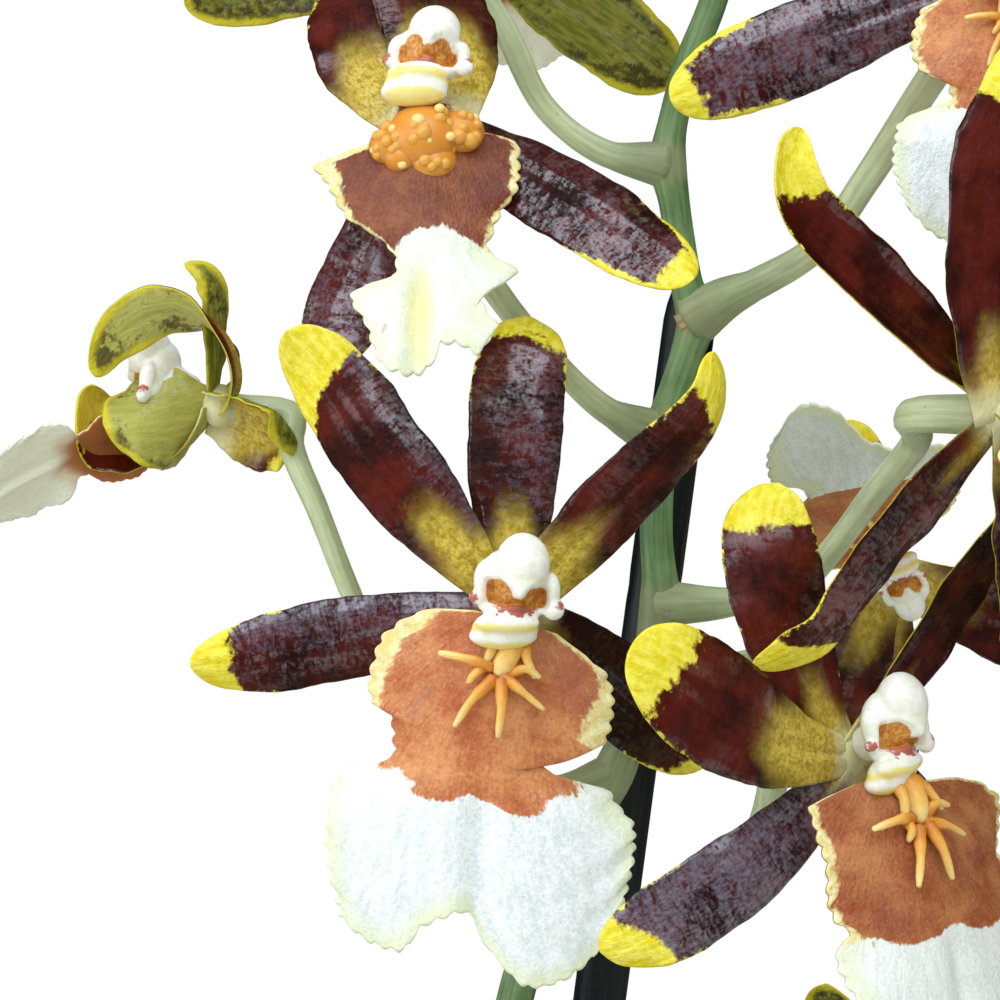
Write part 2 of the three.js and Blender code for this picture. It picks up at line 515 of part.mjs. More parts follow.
// The column: an arched body with an anther cap, two side wings and a hollow below the cap
function column({ columnScale = 1 }, grow = 0) {
  const axis = [[0, 1.1, 2.5], [0, 1.5, 4.6], [0, 2.6, 7], [0, 3.9, 8.6]];
  const body = taperedTube(axis, [1.7, 2.2, 2.7, 2.1].map((r) => r + grow), columnSides, 3);
  const ball = (at, radii, around, up) => ellipsoid(at, radii.map((r) => r + grow), around, up);
  const cap = ball([0.7, 4.6, 7.6], [2.6, 3, 2.3], 6, 4);
  const wings = [ball([-2.8, 2.2, 6.5], [1.6, 2.1, 1.1], 4, 3), ball([3.4, 1.2, 6.6], [1.5, 2, 1.1], 4, 3)];
  const chin = ball([-0.6, -0.8, 5.7], [3.1, 1.5, 1.6], 6, 3);
  const hollow = toSolid(ellipsoid([0.1, 1.2, 8.6], [2.2, 1, 1.6], 5, 4));
  const whole = joined([body, cap, chin, ...wings]).subtract(hollow);
  return toGeometry(whole).scale(columnScale, columnScale, columnScale);
}

// The frame of a flower: its own x to the right, y up and z out of its face
function bloomFrame({ at, face: [yaw, pitch, roll] }) {
  const upright = new THREE.Group();
  upright.position.set(...at);
  upright.rotation.x = Math.PI / 2;
  const turned = new THREE.Group();
  turned.rotation.set(degToRad(-pitch), degToRad(yaw), degToRad(roll), 'YXZ');
  upright.add(turned);
  upright.updateMatrixWorld(true);
  return { upright, turned };
}

function leafShape(spec, grow = 0) {
  const shares = [0, 0.08, 0.2, 0.34, 0.48, 0.62, 0.76, 0.88, 0.96, 1];
  const taper = (u) => Math.max(Math.min(0.3 + 2.1 * u, 1, Math.sqrt(Math.max(1 - u, 0) * 3.4)), 0.05);
  const half = (u) => (spec.width / 2 + grow) * taper(u);
  const start = leafStart(spec);
  const keel = (u) => lerp(0.55, 0.16, smooth(u / 0.4));
  const rows = run(spec, shares).map(({ centre, side, normal }, i) => [-1, 0, 1].map((v) => {
    const width = half(shares[i]);
    return {
      point: centre.clone().add(start)
        .addScaledVector(side, v * width * Math.cos(keel(shares[i])))
        .addScaledVector(normal, Math.abs(v) * width * Math.sin(keel(shares[i]))),
      normal,
    };
  }));
  return slab(rows, leafThickness + 2 * grow);
}

// Where a leaf starts: beside its bulb at the bark, or on top of the bulb
function leafStart({ bulb, side, basal }) {
  const { foot: [x, y, z], width, height } = bulbs[bulb];
  const reach = basal ? side * (width * 0.37 + 9.3) : side * 3.9;
  const across = degToRad(rowAngle + 90);
  const up = basal ? 8 : height + leafThickness;
  return new THREE.Vector3(x + reach * Math.cos(across), y + reach * Math.sin(across), z + up);
}

// A pseudobulb: a flattened egg, widest low down, with a blunt top
function bulbShape({ foot, width, thick, height }, grow = 0) {
  const profile = [[0, 0], [0.62, 0], [0.86, 0.1], [1, 0.28], [0.96, 0.46], [0.8, 0.68], [0.5, 0.88],
    [0.22, 1], [0, 1]];
  const outline = profile.map(([r, h]) => new THREE.Vector2(
    r === 0 ? 0 : r + grow / (thick / 2), h * (height + 2 * grow) - grow));
  return new THREE.LatheGeometry(outline, 10)
    .rotateX(Math.PI / 2)
    .scale(thick / 2, width / 2, 1)
    .rotateZ(degToRad(rowAngle))
    .translate(...foot);
}

function stakeShape(grow = 0) {
  const axis = stakeTop.clone().sub(stakeFoot);
  const upward = new THREE.Quaternion()
    .setFromUnitVectors(new THREE.Vector3(0, 1, 0), axis.clone().normalize());
  return new THREE.CylinderGeometry(stakeRadius + grow, stakeRadius + grow, axis.length() + 2 * grow, 12)
    .applyQuaternion(upward)
    .translate(...stakeFoot.clone().lerp(stakeTop, 0.5).toArray());
}

const stemSections = 38;
const stemTube = (grow = 0) => taperedTube(stemPath, stemRadii.map((r) => r + grow), 6, stemSections);

// A stalk leaves the stem and meets the back of its flower square on
function stalkTube({ at, face, stalk, columnScale = 1 }, grow = 0) {
  const { turned } = bloomFrame({ at, face });
  const behind = (depth) => turned.localToWorld(new THREE.Vector3(0, 0, -depth)).toArray();
  const radius = stalkRadius * Math.max(columnScale, 0.85);
  const radii = [1.9, 1, 1, 1.15, 1.25].map((share) => share * radius + grow);
  return taperedTube([...stalk, behind(9), behind(3.2)], radii, 5, stalk.length + 4);
}

// A small dry bract that clasps each joint of the stem
function bract([x, y, z], towards) {
  const away = new THREE.Vector3(...towards).sub(new THREE.Vector3(x, y, z)).normalize();
  return new THREE.ConeGeometry(3, 9, 5)
    .applyQuaternion(new THREE.Quaternion().setFromUnitVectors(new THREE.Vector3(0, 1, 0), away))
    .translate(x + 1.5 * away.x, y + 1.5 * away.y, z + 1.5 * away.z);
}

function budShape({ at, turn, lift, length }) {
  const ahead = heading(degToRad(turn), degToRad(lift));
  const place = (d) => new THREE.Vector3(...at).addScaledVector(ahead, d).toArray();
  const stalk = 0.45 * length;
  return taperedTube([place(0), place(stalk), place(stalk + 0.5 * length), place(stalk + length)],
    [0.9, 0.9, 0.25 * length, 0.27 * length, 0.15 * length, 0.4], 6, 5);
}

function spike() {
  const stalks = blooms.map((bloom) => stalkTube(bloom));
  const bracts = blooms.map(({ stalk }) => bract(stalk[0], stalk[1]));
  return toGeometry(joined([stemTube(), ...stalks, ...bracts, ...buds.map(budShape)]));
}

// Roots that creep over the bark from the short rhizome in front of the bulbs
const rootPaths = [
  [[-2, -24, 103], [-14, -30, 106], [-26, -30, 105.5], [-38, -26, 104]],
  [[-2, -24, 103], [4, -34, 106], [2, -42, 105.5], [-8, -48, 103]],
  [[-2, -24, 103], [10, -30, 106], [24, -34, 105.5], [36, -36, 103]],
];

function rootShape(grow = 0) {
  const radii = [2.4, 2.1, 1.8, 1.2].map((r) => r + grow);
  const tubes = rootPaths.map((path) => taperedTube(path, radii, 5, 6));
  return joined([ellipsoid([-2, -24, 102.5], [6 + grow, 4.5 + grow, 3.6 + grow]), ...tubes]);
}

// The bark: a plug that fills the pot, with chips on top, open where the plant and the stake stand
function barkFilling() {
  const level = (z) => (z - potFloor) / (potHeight - potFloor);
  const innerRadius = (z) => lerp(potFootRadius, potShoulderRadius, level(z)) - potWall;
  const low = potFloor + barkGap;
  const [topRadius, lowRadius] = [innerRadius(barkTop) - barkGap, innerRadius(low) - barkGap];
  const plug = new THREE.CylinderGeometry(topRadius, lowRadius, barkTop - low, 18)
    .rotateX(Math.PI / 2).translate(0, 0, (barkTop + low) / 2);
  const chips = [];
  for (let i = 0; i < barkChips; i += 1) {
    const radius = (innerRadius(barkTop) - 10) * Math.sqrt((i + 0.5) / barkChips);
    const angle = i * 2.39996;
    chips.push(new THREE.BoxGeometry(11 + 6 * random(), 8 + 4 * random(), 5 + 2 * random())
      .rotateX(0.7 * (random() - 0.5)).rotateY(0.7 * (random() - 0.5)).rotateZ(Math.PI * random())
      .translate(radius * Math.cos(angle), radius * Math.sin(angle), barkTop - 1 + 2 * random()));
  }
  const cutters = [
    ...bulbs.map((bulb) => toSolid(bulbShape(bulb, fitGap))),
    ...leaves.filter(({ basal }) => basal).map((leaf) => toSolid(leafShape(leaf, fitGap))),
    toSolid(stakeShape(fitGap)), toSolid(stemTube(fitGap)), rootShape(fitGap),
  ];
  const round = toSolid(new THREE.CylinderGeometry(topRadius, topRadius, 40, 18)
    .rotateX(Math.PI / 2).translate(0, 0, barkTop));
  const top = joined(chips).intersect(round);
  const filling = cutters.reduce((whole, cutter) => whole.subtract(cutter), toSolid(plug).add(top));
  return toGeometry(largest(filling));
}

// The pot: one wall with a thick rim band and four holes round the middle of its floor
function pot() {
  const rimFoot = potHeight - potRimHeight;
  const profile = [
    [0, 0], [potFootRadius - 1.5, 0], [potFootRadius, 1.5], [potShoulderRadius, rimFoot - 2],
    [potRimRadius - 2, rimFoot], [potRimRadius, rimFoot + 3], [potRimRadius, potHeight - 2],
    [potRimRadius - 2, potHeight],
    [potShoulderRadius - potWall + 3, potHeight], [potShoulderRadius - potWall, potHeight - 2],
    [potFootRadius - potWall, potFloor], [0, potFloor],
  ];
  const outline = profile.map(([r, z]) => new THREE.Vector2(r, z));
  const body = new THREE.LatheGeometry(outline, potSides).rotateX(Math.PI / 2);
  const holes = [45, 135, 225, 315].map((angle) => toSolid(
    new THREE.CylinderGeometry(drainRadius, drainRadius, 3 * potFloor, 10).rotateX(Math.PI / 2)
      .translate(drainCircle * Math.cos(degToRad(angle)), drainCircle * Math.sin(degToRad(angle)), 0)));
  return toGeometry(holes.reduce((whole, hole) => whole.subtract(hole), toSolid(body)));
}

// A clip: a band round the spike and the stake at one height
function clip(height) {
  const stakeShare = (height - stakeFoot.z) / (stakeTop.z - stakeFoot.z);
  const stake = stakeFoot.clone().lerp(stakeTop, stakeShare);
  const stem = new THREE.CatmullRomCurve3(stemPath.map((p) => new THREE.Vector3(...p)), false, 'centripetal')
    .getPoints(400).reduce((best, p) => (Math.abs(p.z - height) < Math.abs(best.z - height) ? p : best));
  const across = Math.hypot(stake.x - stem.x, stake.y - stem.y);
  const band = (radius) => {
    const outline = new THREE.Shape();
    outline.absarc(0, 0, radius, Math.PI / 2, 1.5 * Math.PI, false);
    outline.absarc(across, 0, radius, -Math.PI / 2, Math.PI / 2, false);
    const sweep = { depth: clipHeight, bevelEnabled: false, curveSegments: 4 };
    return toSolid(new THREE.ExtrudeGeometry(outline, sweep));
  };
  const inner = stakeRadius + clipClearance;
  const hollow = band(inner).scale([1, 1, 3]).translate([0, 0, -clipHeight]);
  return toGeometry(band(inner + clipWall).subtract(hollow))
    .rotateZ(Math.atan2(stake.y - stem.y, stake.x - stem.x))
    .translate(stem.x, stem.y, height - clipHeight / 2);
}

const plant = new THREE.Group();

function addMesh(name, geometry, finish, parent = plant) {
  const mesh = new THREE.Mesh(geometry, finish);
  mesh.name = name;
  parent.add(mesh);
}

addMesh('pot', pot(), clay);
addMesh('bark', barkFilling(), bark);
for (const bulb of bulbs) addMesh(bulb.name, bulbShape(bulb), bulbGreen);
for (const leaf of leaves) addMesh(leaf.name, leafShape(leaf), leafGreen);
addMesh('roots', toGeometry(rootShape()), rootGrey);
addMesh('stake', stakeShape(), stakeDark);
addMesh('clip_1', clip(clipHeights[0]), clipGreen);
addMesh('clip_2', clip(clipHeights[1]), clipGreen);
addMesh('spike', spike(), stemGreen);
for (const bloom of blooms) {
  const { upright, turned } = bloomFrame(bloom);
  addMesh(`${bloom.name}_tepals`, tepals(bloom), tepalMaroon, turned);
  addMesh(`${bloom.name}_lip`, lip(bloom), lipBrown, turned);
  addMesh(`${bloom.name}_column`, column(bloom), columnWhite, turned);
  plant.add(upright);
}

export default plant;
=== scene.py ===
from math import atan2, cos, hypot, pi, radians, sin

import bpy
import numpy as np
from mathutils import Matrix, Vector


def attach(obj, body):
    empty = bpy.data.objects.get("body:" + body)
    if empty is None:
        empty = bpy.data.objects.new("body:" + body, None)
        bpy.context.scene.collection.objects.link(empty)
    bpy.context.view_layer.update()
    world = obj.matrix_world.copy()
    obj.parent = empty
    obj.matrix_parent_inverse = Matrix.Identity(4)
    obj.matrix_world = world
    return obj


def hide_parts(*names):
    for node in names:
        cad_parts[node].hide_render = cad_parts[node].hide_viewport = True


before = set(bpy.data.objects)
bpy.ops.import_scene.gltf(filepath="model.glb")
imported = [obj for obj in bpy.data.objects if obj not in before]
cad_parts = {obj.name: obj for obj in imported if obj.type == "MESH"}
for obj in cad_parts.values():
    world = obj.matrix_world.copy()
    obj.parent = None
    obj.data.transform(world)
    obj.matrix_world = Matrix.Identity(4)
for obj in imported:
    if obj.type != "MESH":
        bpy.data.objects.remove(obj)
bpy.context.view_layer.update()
mm = 0.001
dice = np.random.default_rng(20)
print("frame loaded:", len(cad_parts), "nodes")


# Curves and grids

# Eases from 0 to 1: t squared times (3 - 2 t)
def ease(x):
    t = np.clip(x, 0, 1)
    return t * t * (3 - 2 * t)


# A smooth curve through [x, y] keys that never overshoots: cubic pieces whose slopes are harmonic means
def curveThrough(keys, x):
    kx, ky = np.array(keys, float).T
    slope = np.diff(ky) / np.diff(kx)
    a, b = slope[:-1], slope[1:]
    inner = np.where(a * b > 0, 2 * a * b / np.where(a + b == 0, 1, a + b), 0)
    tangent = np.concatenate([slope[:1], inner, slope[-1:]])
    at = np.clip(x, kx[0], kx[-1])
    i = np.clip(np.searchsorted(kx, at, side="right") - 1, 0, len(kx) - 2)
    width = kx[i + 1] - kx[i]
    t = (at - kx[i]) / width
    return ((2 * t**3 - 3 * t**2 + 1) * ky[i] + (t**3 - 2 * t**2 + t) * width * tangent[i]
            + (3 * t**2 - 2 * t**3) * ky[i + 1] + (t**3 - t**2) * width * tangent[i + 1])


# A gentle wander between about -1 and 1: five sines of rising pitch with random phases
def wander(x, waves, seed):
    phases = np.random.default_rng(int(seed)).uniform(0, 2 * pi, 5)
    return sum(np.sin(2 * pi * x * waves * (k + 1) / 2 + phases[k]) / (k + 1) ** 0.7 for k in range(5)) / 2.2


# A centripetal curve through points, cut into even steps along its length
def smoothPath(points, count):
    p = np.array(points, float)
    p = np.vstack([2 * p[0] - p[1], p, 2 * p[-1] - p[-2]])
    gap = np.sqrt(np.linalg.norm(np.diff(p, axis=0), axis=1))
    t = np.linspace(0, len(points) - 1, 40 * len(points))
    i = np.clip(t.astype(int), 0, len(points) - 2)
    f = (t - i)[:, None]
    p0, p1, p2, p3 = p[i], p[i + 1], p[i + 2], p[i + 3]
    d0, d1, d2 = gap[i][:, None], gap[i + 1][:, None], gap[i + 2][:, None]
    m1 = ((p1 - p0) / d0 - (p2 - p0) / (d0 + d1) + (p2 - p1) / d1) * d1
    m2 = ((p2 - p1) / d1 - (p3 - p1) / (d1 + d2) + (p3 - p2) / d2) * d1
    fine = ((2 * f**3 - 3 * f**2 + 1) * p1 + (f**3 - 2 * f**2 + f) * m1
            + (3 * f**2 - 2 * f**3) * p2 + (f**3 - f**2) * m2)
    run = np.concatenate([[0], np.cumsum(np.linalg.norm(np.diff(fine, axis=0), axis=1))])
    even = np.linspace(0, run[-1], count)
    return np.stack([np.interp(even, run, fine[:, k]) for k in range(3)], -1)


# Two directions square to a path at each of its points, carried along without twisting
def carriedFrame(path):
    ahead = np.gradient(path, axis=0)
    ahead /= np.linalg.norm(ahead, axis=1, keepdims=True)
    start = np.cross(ahead[0], (0.3, 0.2, 0.93) if abs(ahead[0][2]) < 0.9 else (1, 0, 0))
    sides = [start / np.linalg.norm(start)]
    for step in ahead[1:]:
        side = sides[-1] - step * np.dot(sides[-1], step)
        sides.append(side / np.linalg.norm(side))
    sides = np.array(sides)
    return ahead, sides, np.cross(ahead, sides)


# An object that holds a mesh, a lamp or a camera, linked into the scene
def shown(name, data):
    thing = bpy.data.objects.new(name, data)
    bpy.context.scene.collection.objects.link(thing)
    return thing


# Triples of numbers kept at a mesh's points, which the finishes read by name
def keepFacts(mesh, facts):
    for key, value in facts.items():
        layer = mesh.attributes.new(key, "FLOAT_VECTOR", "POINT")
        layer.data.foreach_set("vector", value.astype(np.float32).ravel())


# The mesh of an object as its modifiers leave it
def workedMesh(thing):
    return bpy.data.meshes.new_from_object(thing.evaluated_get(bpy.context.evaluated_depsgraph_get()))


# Gathers grids into one mesh. Every point keeps a few triples of numbers that the finishes read, zero where
# none are given.
class Skin:
    def __init__(self):
        self.points, self.faces, self.finishes, self.count = [], [], [], 0
        self.facts = {"flat": [], "paint": [], "side": []}

    # faces that enclose a volume are turned to point out of it
    def add(self, points, faces, facts, finish=0, closed=True):
        points = points.reshape(-1, 3)
        if closed:
            volume = sum(np.einsum("ij,ij->i", points[q[:, 0]],
                                   np.cross(points[q[:, k]], points[q[:, k + 1]])).sum()
                         for q in faces for k in range(1, q.shape[1] - 1))
            if volume < 0:
                faces = [q[:, ::-1] for q in faces]
        for q in faces:
            self.faces += (q + self.count).tolist()
            self.finishes += [finish] * len(q)
        self.points.append(points)
        for key, kept in self.facts.items():
            value = np.zeros((len(points), 3)) if key not in facts else np.broadcast_to(
                facts[key], (*np.shape(facts[key])[:-1], 3)).reshape(-1, 3)
            kept.append(np.broadcast_to(value, (len(points), 3)))
        self.count += len(points)

    # a two-sided sheet: the front grid, the back grid and the wall round their edge
    def sheet(self, front, back, frontFacts, backFacts, finish=0):
        rows, columns = front.shape[:2]
        ring = np.concatenate([front, back[:, ::-1]], 1)
        facts = {key: np.concatenate([frontFacts[key], backFacts[key][:, ::-1]], 1) for key in frontFacts}
        index = np.arange(rows * 2 * columns).reshape(rows, 2 * columns)
        loop = np.concatenate([index, index[:, :1]], 1)
        around = np.stack([loop[:-1, :-1], loop[1:, :-1], loop[1:, 1:], loop[:-1, 1:]], -1).reshape(-1, 4)
        f, b = index[:, :columns], index[:, columns:][:, ::-1]
        first = np.stack([f[0, :-1], f[0, 1:], b[0, 1:], b[0, :-1]], -1)
        last = np.stack([f[-1, :-1], b[-1, :-1], b[-1, 1:], f[-1, 1:]], -1)
        self.add(ring, [around, first, last], facts, finish)

    # a skin of rings, each end drawn together to one point
    def rings(self, grid, facts, finish=0, closed=True):
        rows, columns = grid.shape[:2]
        index = np.arange(rows * columns).reshape(rows, columns)
        loop = np.concatenate([index, index[:, :1]], 1)
        around = np.stack([loop[:-1, :-1], loop[:-1, 1:], loop[1:, 1:], loop[1:, :-1]], -1).reshape(-1, 4)
        faces = [around]
        points = grid.reshape(-1, 3)
        facts = {key: np.broadcast_to(value, (rows, columns, 3)).reshape(-1, 3)
                 for key, value in facts.items()}
        if closed:
            points = np.vstack([points, grid[0].mean(0), grid[-1].mean(0)])
            facts = {key: np.vstack([v, v[:columns].mean(0), v[-columns:].mean(0)])
                     for key, v in facts.items()}
            n = rows * columns
            faces.append(np.stack([loop[0, 1:], loop[0, :-1], np.full(columns, n)], -1))
            faces.append(np.stack([loop[-1, :-1], loop[-1, 1:], np.full(columns, n + 1)], -1))
        self.add(points, faces, facts, finish, closed)

    # a round tube along a path; its ends are domes
    def tube(self, path, radii, sides=16, seed=0.0, finish=0, paint=None, ridges=0.0):
        ahead, side, other = carriedFrame(path)
        share = np.linspace(0, 1, len(path))
        radius = np.interp(share, np.linspace(0, 1, len(radii)), radii)[:, None, None]
        angle = np.linspace(0, 2 * pi, sides, endpoint=False)[None, :, None]
        swell = 1 + ridges * np.cos(5 * angle)
        around = side[:, None] * np.cos(angle) + other[:, None] * np.sin(angle)
        grid = path[:, None] + radius * swell * around
        dome = np.array([[0.0, 0.02], [0.4, 0.5], [0.8, 0.85]])
        ends = [path[k] + (grid[k] - path[k]) * d[1] + way * ahead[k] * (1 - d[0]) * radius[k, 0, 0] * 0.6
                for k, way, order in ((0, -1, dome), (-1, 1, dome[::-1])) for d in order]
        grid = np.concatenate([ends[:3], grid, ends[3:]])
        along = np.concatenate([[0] * 3, np.cumsum(np.r_[0, np.linalg.norm(np.diff(path, axis=0), axis=1)])])
        along = np.concatenate([along, [along[-1]] * 3])
        shares = np.concatenate([[0] * 3, share, [1] * 3])
        flat = np.stack(np.broadcast_arrays(angle[..., 0] * np.mean(radii), along[:, None], seed), -1)
        plain = np.stack(np.broadcast_arrays(shares[:, None], angle[..., 0] * 0, 0), -1)
        look = plain if paint is None else paint
        self.rings(grid, {"flat": flat, "paint": look}, finish)

    # a ball pulled to three radii
    def ball(self, centre, radii, around=20, up=12, facts=None, finish=0):
        a = np.linspace(0, 2 * pi, around, endpoint=False)[None]
        e = np.linspace(-pi / 2 + 0.12, pi / 2 - 0.12, up)[:, None]
        grid = np.stack(np.broadcast_arrays(np.cos(e) * np.cos(a), np.cos(e) * np.sin(a), np.sin(e)), -1)
        self.rings(grid * radii + centre, facts or {}, finish)

    # every point so far, as one array
    def allPoints(self):
        return np.concatenate(self.points)

    # the mesh as an object that rides on the plant and stands for its node
    def piece(self, name, finishes, replaced=None, place=None):
        points = self.allPoints() if place is None else place(self.allPoints())
        mesh = bpy.data.meshes.new(name)
        mesh.from_pydata((points * mm).tolist(), [], self.faces)
        mesh.polygons.foreach_set("use_smooth", np.ones(len(mesh.polygons), bool))
        mesh.polygons.foreach_set("material_index", self.finishes)
        keepFacts(mesh, {key: np.concatenate(kept) for key, kept in self.facts.items()})
        for finish in finishes:
            mesh.materials.append(finish)
        mesh.update()
        thing = shown(name, mesh)
        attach(thing, "root")
        if replaced:
            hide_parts(replaced)
        return thing


# Finishes

# A colour from its six hex digits, made linear for the shaders
def shade(digits):
    parts = [int(digits[k:k + 2], 16) / 255 for k in (0, 2, 4)]
    return (*[c / 12.92 if c <= 0.04045 else ((c + 0.055) / 1.055) ** 2.4 for c in parts], 1)


# One output of a node; sums on it add Math nodes
class Wire:
    def __init__(self, finish, socket):
        self.finish, self.socket = finish, socket

    def __add__(self, other):
        return self.finish.sum("ADD", self, other)

    def __sub__(self, other):
        return self.finish.sum("SUBTRACT", self, other)

    def __rsub__(self, other):
        return self.finish.sum("SUBTRACT", other, self)

    def __mul__(self, other):
        return self.finish.sum("MULTIPLY", self, other)

    __radd__, __rmul__ = __add__, __mul__


# A material under construction. Its methods add nodes and give back wires or outputs.
class Finish:
    def __init__(self, name):
        self.material = bpy.data.materials.new(name)
        self.material.use_nodes = True
        self.tree = self.material.node_tree
        self.tree.nodes.clear()
        self.shader = self.node("BsdfPrincipled")
        self.node("OutputMaterial", {}, {"Surface": self.shader.outputs["BSDF"]})

    # any node: its type, its settings, then the values or links of its sockets
    def node(self, kind, settings=None, sockets=None):
        made = self.tree.nodes.new("ShaderNode" + kind)
        for key, value in (settings or {}).items():
            if key == "stops":
                for stop, (at, digits) in zip(made.color_ramp.elements, value[:2]):
                    stop.position, stop.color = at, shade(digits)
                for at, digits in value[2:]:
                    made.color_ramp.elements.new(at).color = shade(digits)
            else:
                setattr(made, key, value)
        self.fill(made, sockets or {})
        return made

    # a wire or an output is linked to its socket, and any other value is set on it
    def fill(self, made, sockets):
        for key, value in sockets.items():
            value = value.socket if isinstance(value, Wire) else value
            if isinstance(value, bpy.types.NodeSocket):
                self.tree.links.new(value, made.inputs[key])
            else:
                made.inputs[key].default_value = value

    # one Math node
    def sum(self, operation, a, b):
        return Wire(self, self.node("Math", {"operation": operation}, {0: a, 1: b}).outputs[0])

    # the three numbers kept at the points under a name
    def fact(self, name):
        settings = {"attribute_name": name, "attribute_type": "GEOMETRY"}
        return self.node("Attribute", settings).outputs["Vector"]

    # x, y and z of a vector as three wires
    def parts(self, vector):
        split = self.node("SeparateXYZ", {}, {0: vector})
        return [Wire(self, split.outputs[k]) for k in range(3)]

    # a vector scaled along x, y and z
    def stretched(self, vector, scale):
        return self.node("VectorMath", {"operation": "MULTIPLY"}, {0: vector, 1: scale}).outputs[0]

    # soft noise between 0 and 1
    def noise(self, vector, scale, detail=3.0, rough=0.55, warp=0.0):
        made = self.node("TexNoise", {}, {"Vector": vector, "Scale": scale, "Detail": detail,
                                          "Roughness": rough, "Distortion": warp})
        return Wire(self, made.outputs["Fac"])

    # 0 below low, 1 above high, eased between
    def rise(self, value, low, high):
        made = self.node("MapRange", {"interpolation_type": "SMOOTHSTEP"},
                         {"Value": value, "From Min": low, "From Max": high})
        return Wire(self, made.outputs[0])

    # from colour a to colour b by a share; a colour is six hex digits or an output
    def blend(self, share, a, b):
        a, b = [shade(c) if isinstance(c, str) else c for c in (a, b)]
        return self.node("Mix", {"data_type": "RGBA"}, {0: share, 6: a, 7: b}).outputs[2]

    # colours along a value, each stop a place and six hex digits, the first and the last one given first
    def ramp(self, value, *stops):
        return self.node("ValToRGB", {"stops": stops}, {0: value}).outputs[0]

    # the colour, the roughness and the bumps of a height go to the shader, with any other sockets by name
    def dress(self, colour, roughness, height=None, bump=0.3, depth=0.0003, **others):
        self.shader.inputs["Base Color"].default_value = (1, 1, 1, 1)
        sockets = {"Base Color": colour, "Roughness": roughness, **others}
        if height is not None:
            made = self.node("Bump", {}, {"Height": height, "Strength": bump, "Distance": depth})
            sockets["Normal"] = made.outputs[0]
        self.fill(self.shader, sockets)
        return self.material


# Glossy dark petals: yellow mottled tips and rims, a golden foot, and olive backs with brown clouds. The sign
# of the first side number tells face from back, and its size less one is how much painted sheen the petal
# has there: blue-grey patches that stand for the sky's reflection, followed by a clear coat. The third side
# number darkens the whole petal as painted shade when below zero and lightens it as painted light above.
def tepalFinish():
    f = Finish("tepal")
    flat, paint, side = f.fact("flat"), f.fact("paint"), f.fact("side")
    tip, rim, foot = f.parts(paint)
    front, edge, tone = f.parts(side)
    # the size of the first side number less one: the petal's amount of painted sheen
    paintedSheen = f.sum("ABSOLUTE", front, 0) - 1
    cloud = f.noise(flat, 0.2, 4, 0.55)
    crumb = f.noise(flat, 1.1, 4, 0.65)
    streak = f.noise(f.stretched(flat, (1.6, 0.3, 1)), 1, 3, 0.6)
    fine = f.noise(f.stretched(flat, (1, 0.6, 1)), 3.2, 3, 0.6)
    tipMask = f.rise(tip + (crumb - 0.5) * 2.6 + (cloud - 0.5) * 6, -0.3, 0.45)
    rimMask = f.rise(edge - rim + (crumb - 0.5) * 2.2 + (cloud - 0.5) * 1.2, 0.0, 0.35)
    yellowMask = f.sum("MAXIMUM", tipMask, rimMask)
    near = f.rise(tip + (cloud - 0.5) * 4, -7, 1)
    # tone is painted shade and light: it darkens or lightens the maroon of the whole tepal
    maroon = f.blend(f.rise(cloud + (streak - 0.5) * 0.3 + tone, 0.32, 0.72), "240805", "5c180a")
    maroon = f.blend(near * 0.4, maroon, "641a0c")
    crinkle = f.noise(f.stretched(flat, (0.6, 1.3, 1)), 1.2, 4, 0.6, 0.8)
    # painted sheen: crinkled blue-grey patches that stand for the sky's reflection, as strong as the sheen
    # amount allows
    paintedSheenPatches = f.rise(crinkle * 0.5 + fine * 0.3 + cloud * 0.3 + paintedSheen * 0.2, 0.6, 0.84)
    paintedSheenShare = f.rise(paintedSheen, 0, 0.4) * 0.6 + f.rise(paintedSheen, 0.6, 1) * 0.3
    maroon = f.blend(paintedSheenPatches * paintedSheenShare, maroon, f.blend(fine, "40363e", "8a8494"))
    maroon = f.blend(f.rise(rim, 1.4, 0.0) * 0.4, maroon, "220909")
    olive = f.blend(f.rise(crumb * 0.5 + fine * 0.5, 0.36, 0.64), "98801c", "d6bd52")
    inward = foot + (cloud - 0.5) * 6 + (fine - 0.5) * 4 - f.rise(rim, 0.3, 3.4) * 5
    golden = f.rise(inward, 2.2, -4.8)
    maroon = f.blend(golden, maroon, olive)
    yellow = f.blend(f.rise(crumb * 0.5 + streak * 0.5, 0.36, 0.64), "dccb12", "f2e85c")
    face = f.blend(yellowMask, maroon, yellow)
    face = f.blend(f.rise(f.parts(flat)[1] + (cloud - 0.5) * 3, 4.6, 1.0) * 0.75, face, "e0e2b8")
    blotch = f.rise(crumb * 0.5 + cloud * 0.6 + rim * -0.03 + foot * 0.006, 0.54, 0.66)
    rear = f.blend(f.rise(streak, 0.3, 0.7), "666b20", "96953c")
    # a positive tone lightens the olive back as painted light
    rear = f.blend(f.rise(tone, 0.1, 0.6) * 0.75, rear, "c4c268")
    rear = f.blend(blotch * 0.8, rear, "33210f")
    rear = f.blend(f.rise(edge * 1.4 - rim + 0.9 + (crumb - 0.5) * 1.6, 0, 0.8) * 0.9, rear, "cfc32e")
    colour = f.blend(f.rise(front, -0.4, 0.4), rear, face)
    wrinkle = f.noise(f.stretched(flat, (1, 0.45, 1)), 1.7, 4, 0.62, 0.6)
    height = wrinkle + fine * 0.35 + streak * 0.5
    gloss = f.rise(cloud, 0.3, 0.7) * 0.08 + 0.42
    sheen = f.rise(crinkle * 0.5 + fine * 0.3 + cloud * 0.25, 0.44, 0.6) * f.rise(paintedSheen, -0.25, 0.35)
    sheen = sheen * (1 - yellowMask * 0.7) * (1 - golden * 0.5)
    return f.dress(colour, gloss, height, 0.45, 0.0005,
                   **{"Specular IOR Level": 0.1, "Coat Weight": sheen, "Coat Roughness": 0.18,
                      "Coat IOR": 1.75})
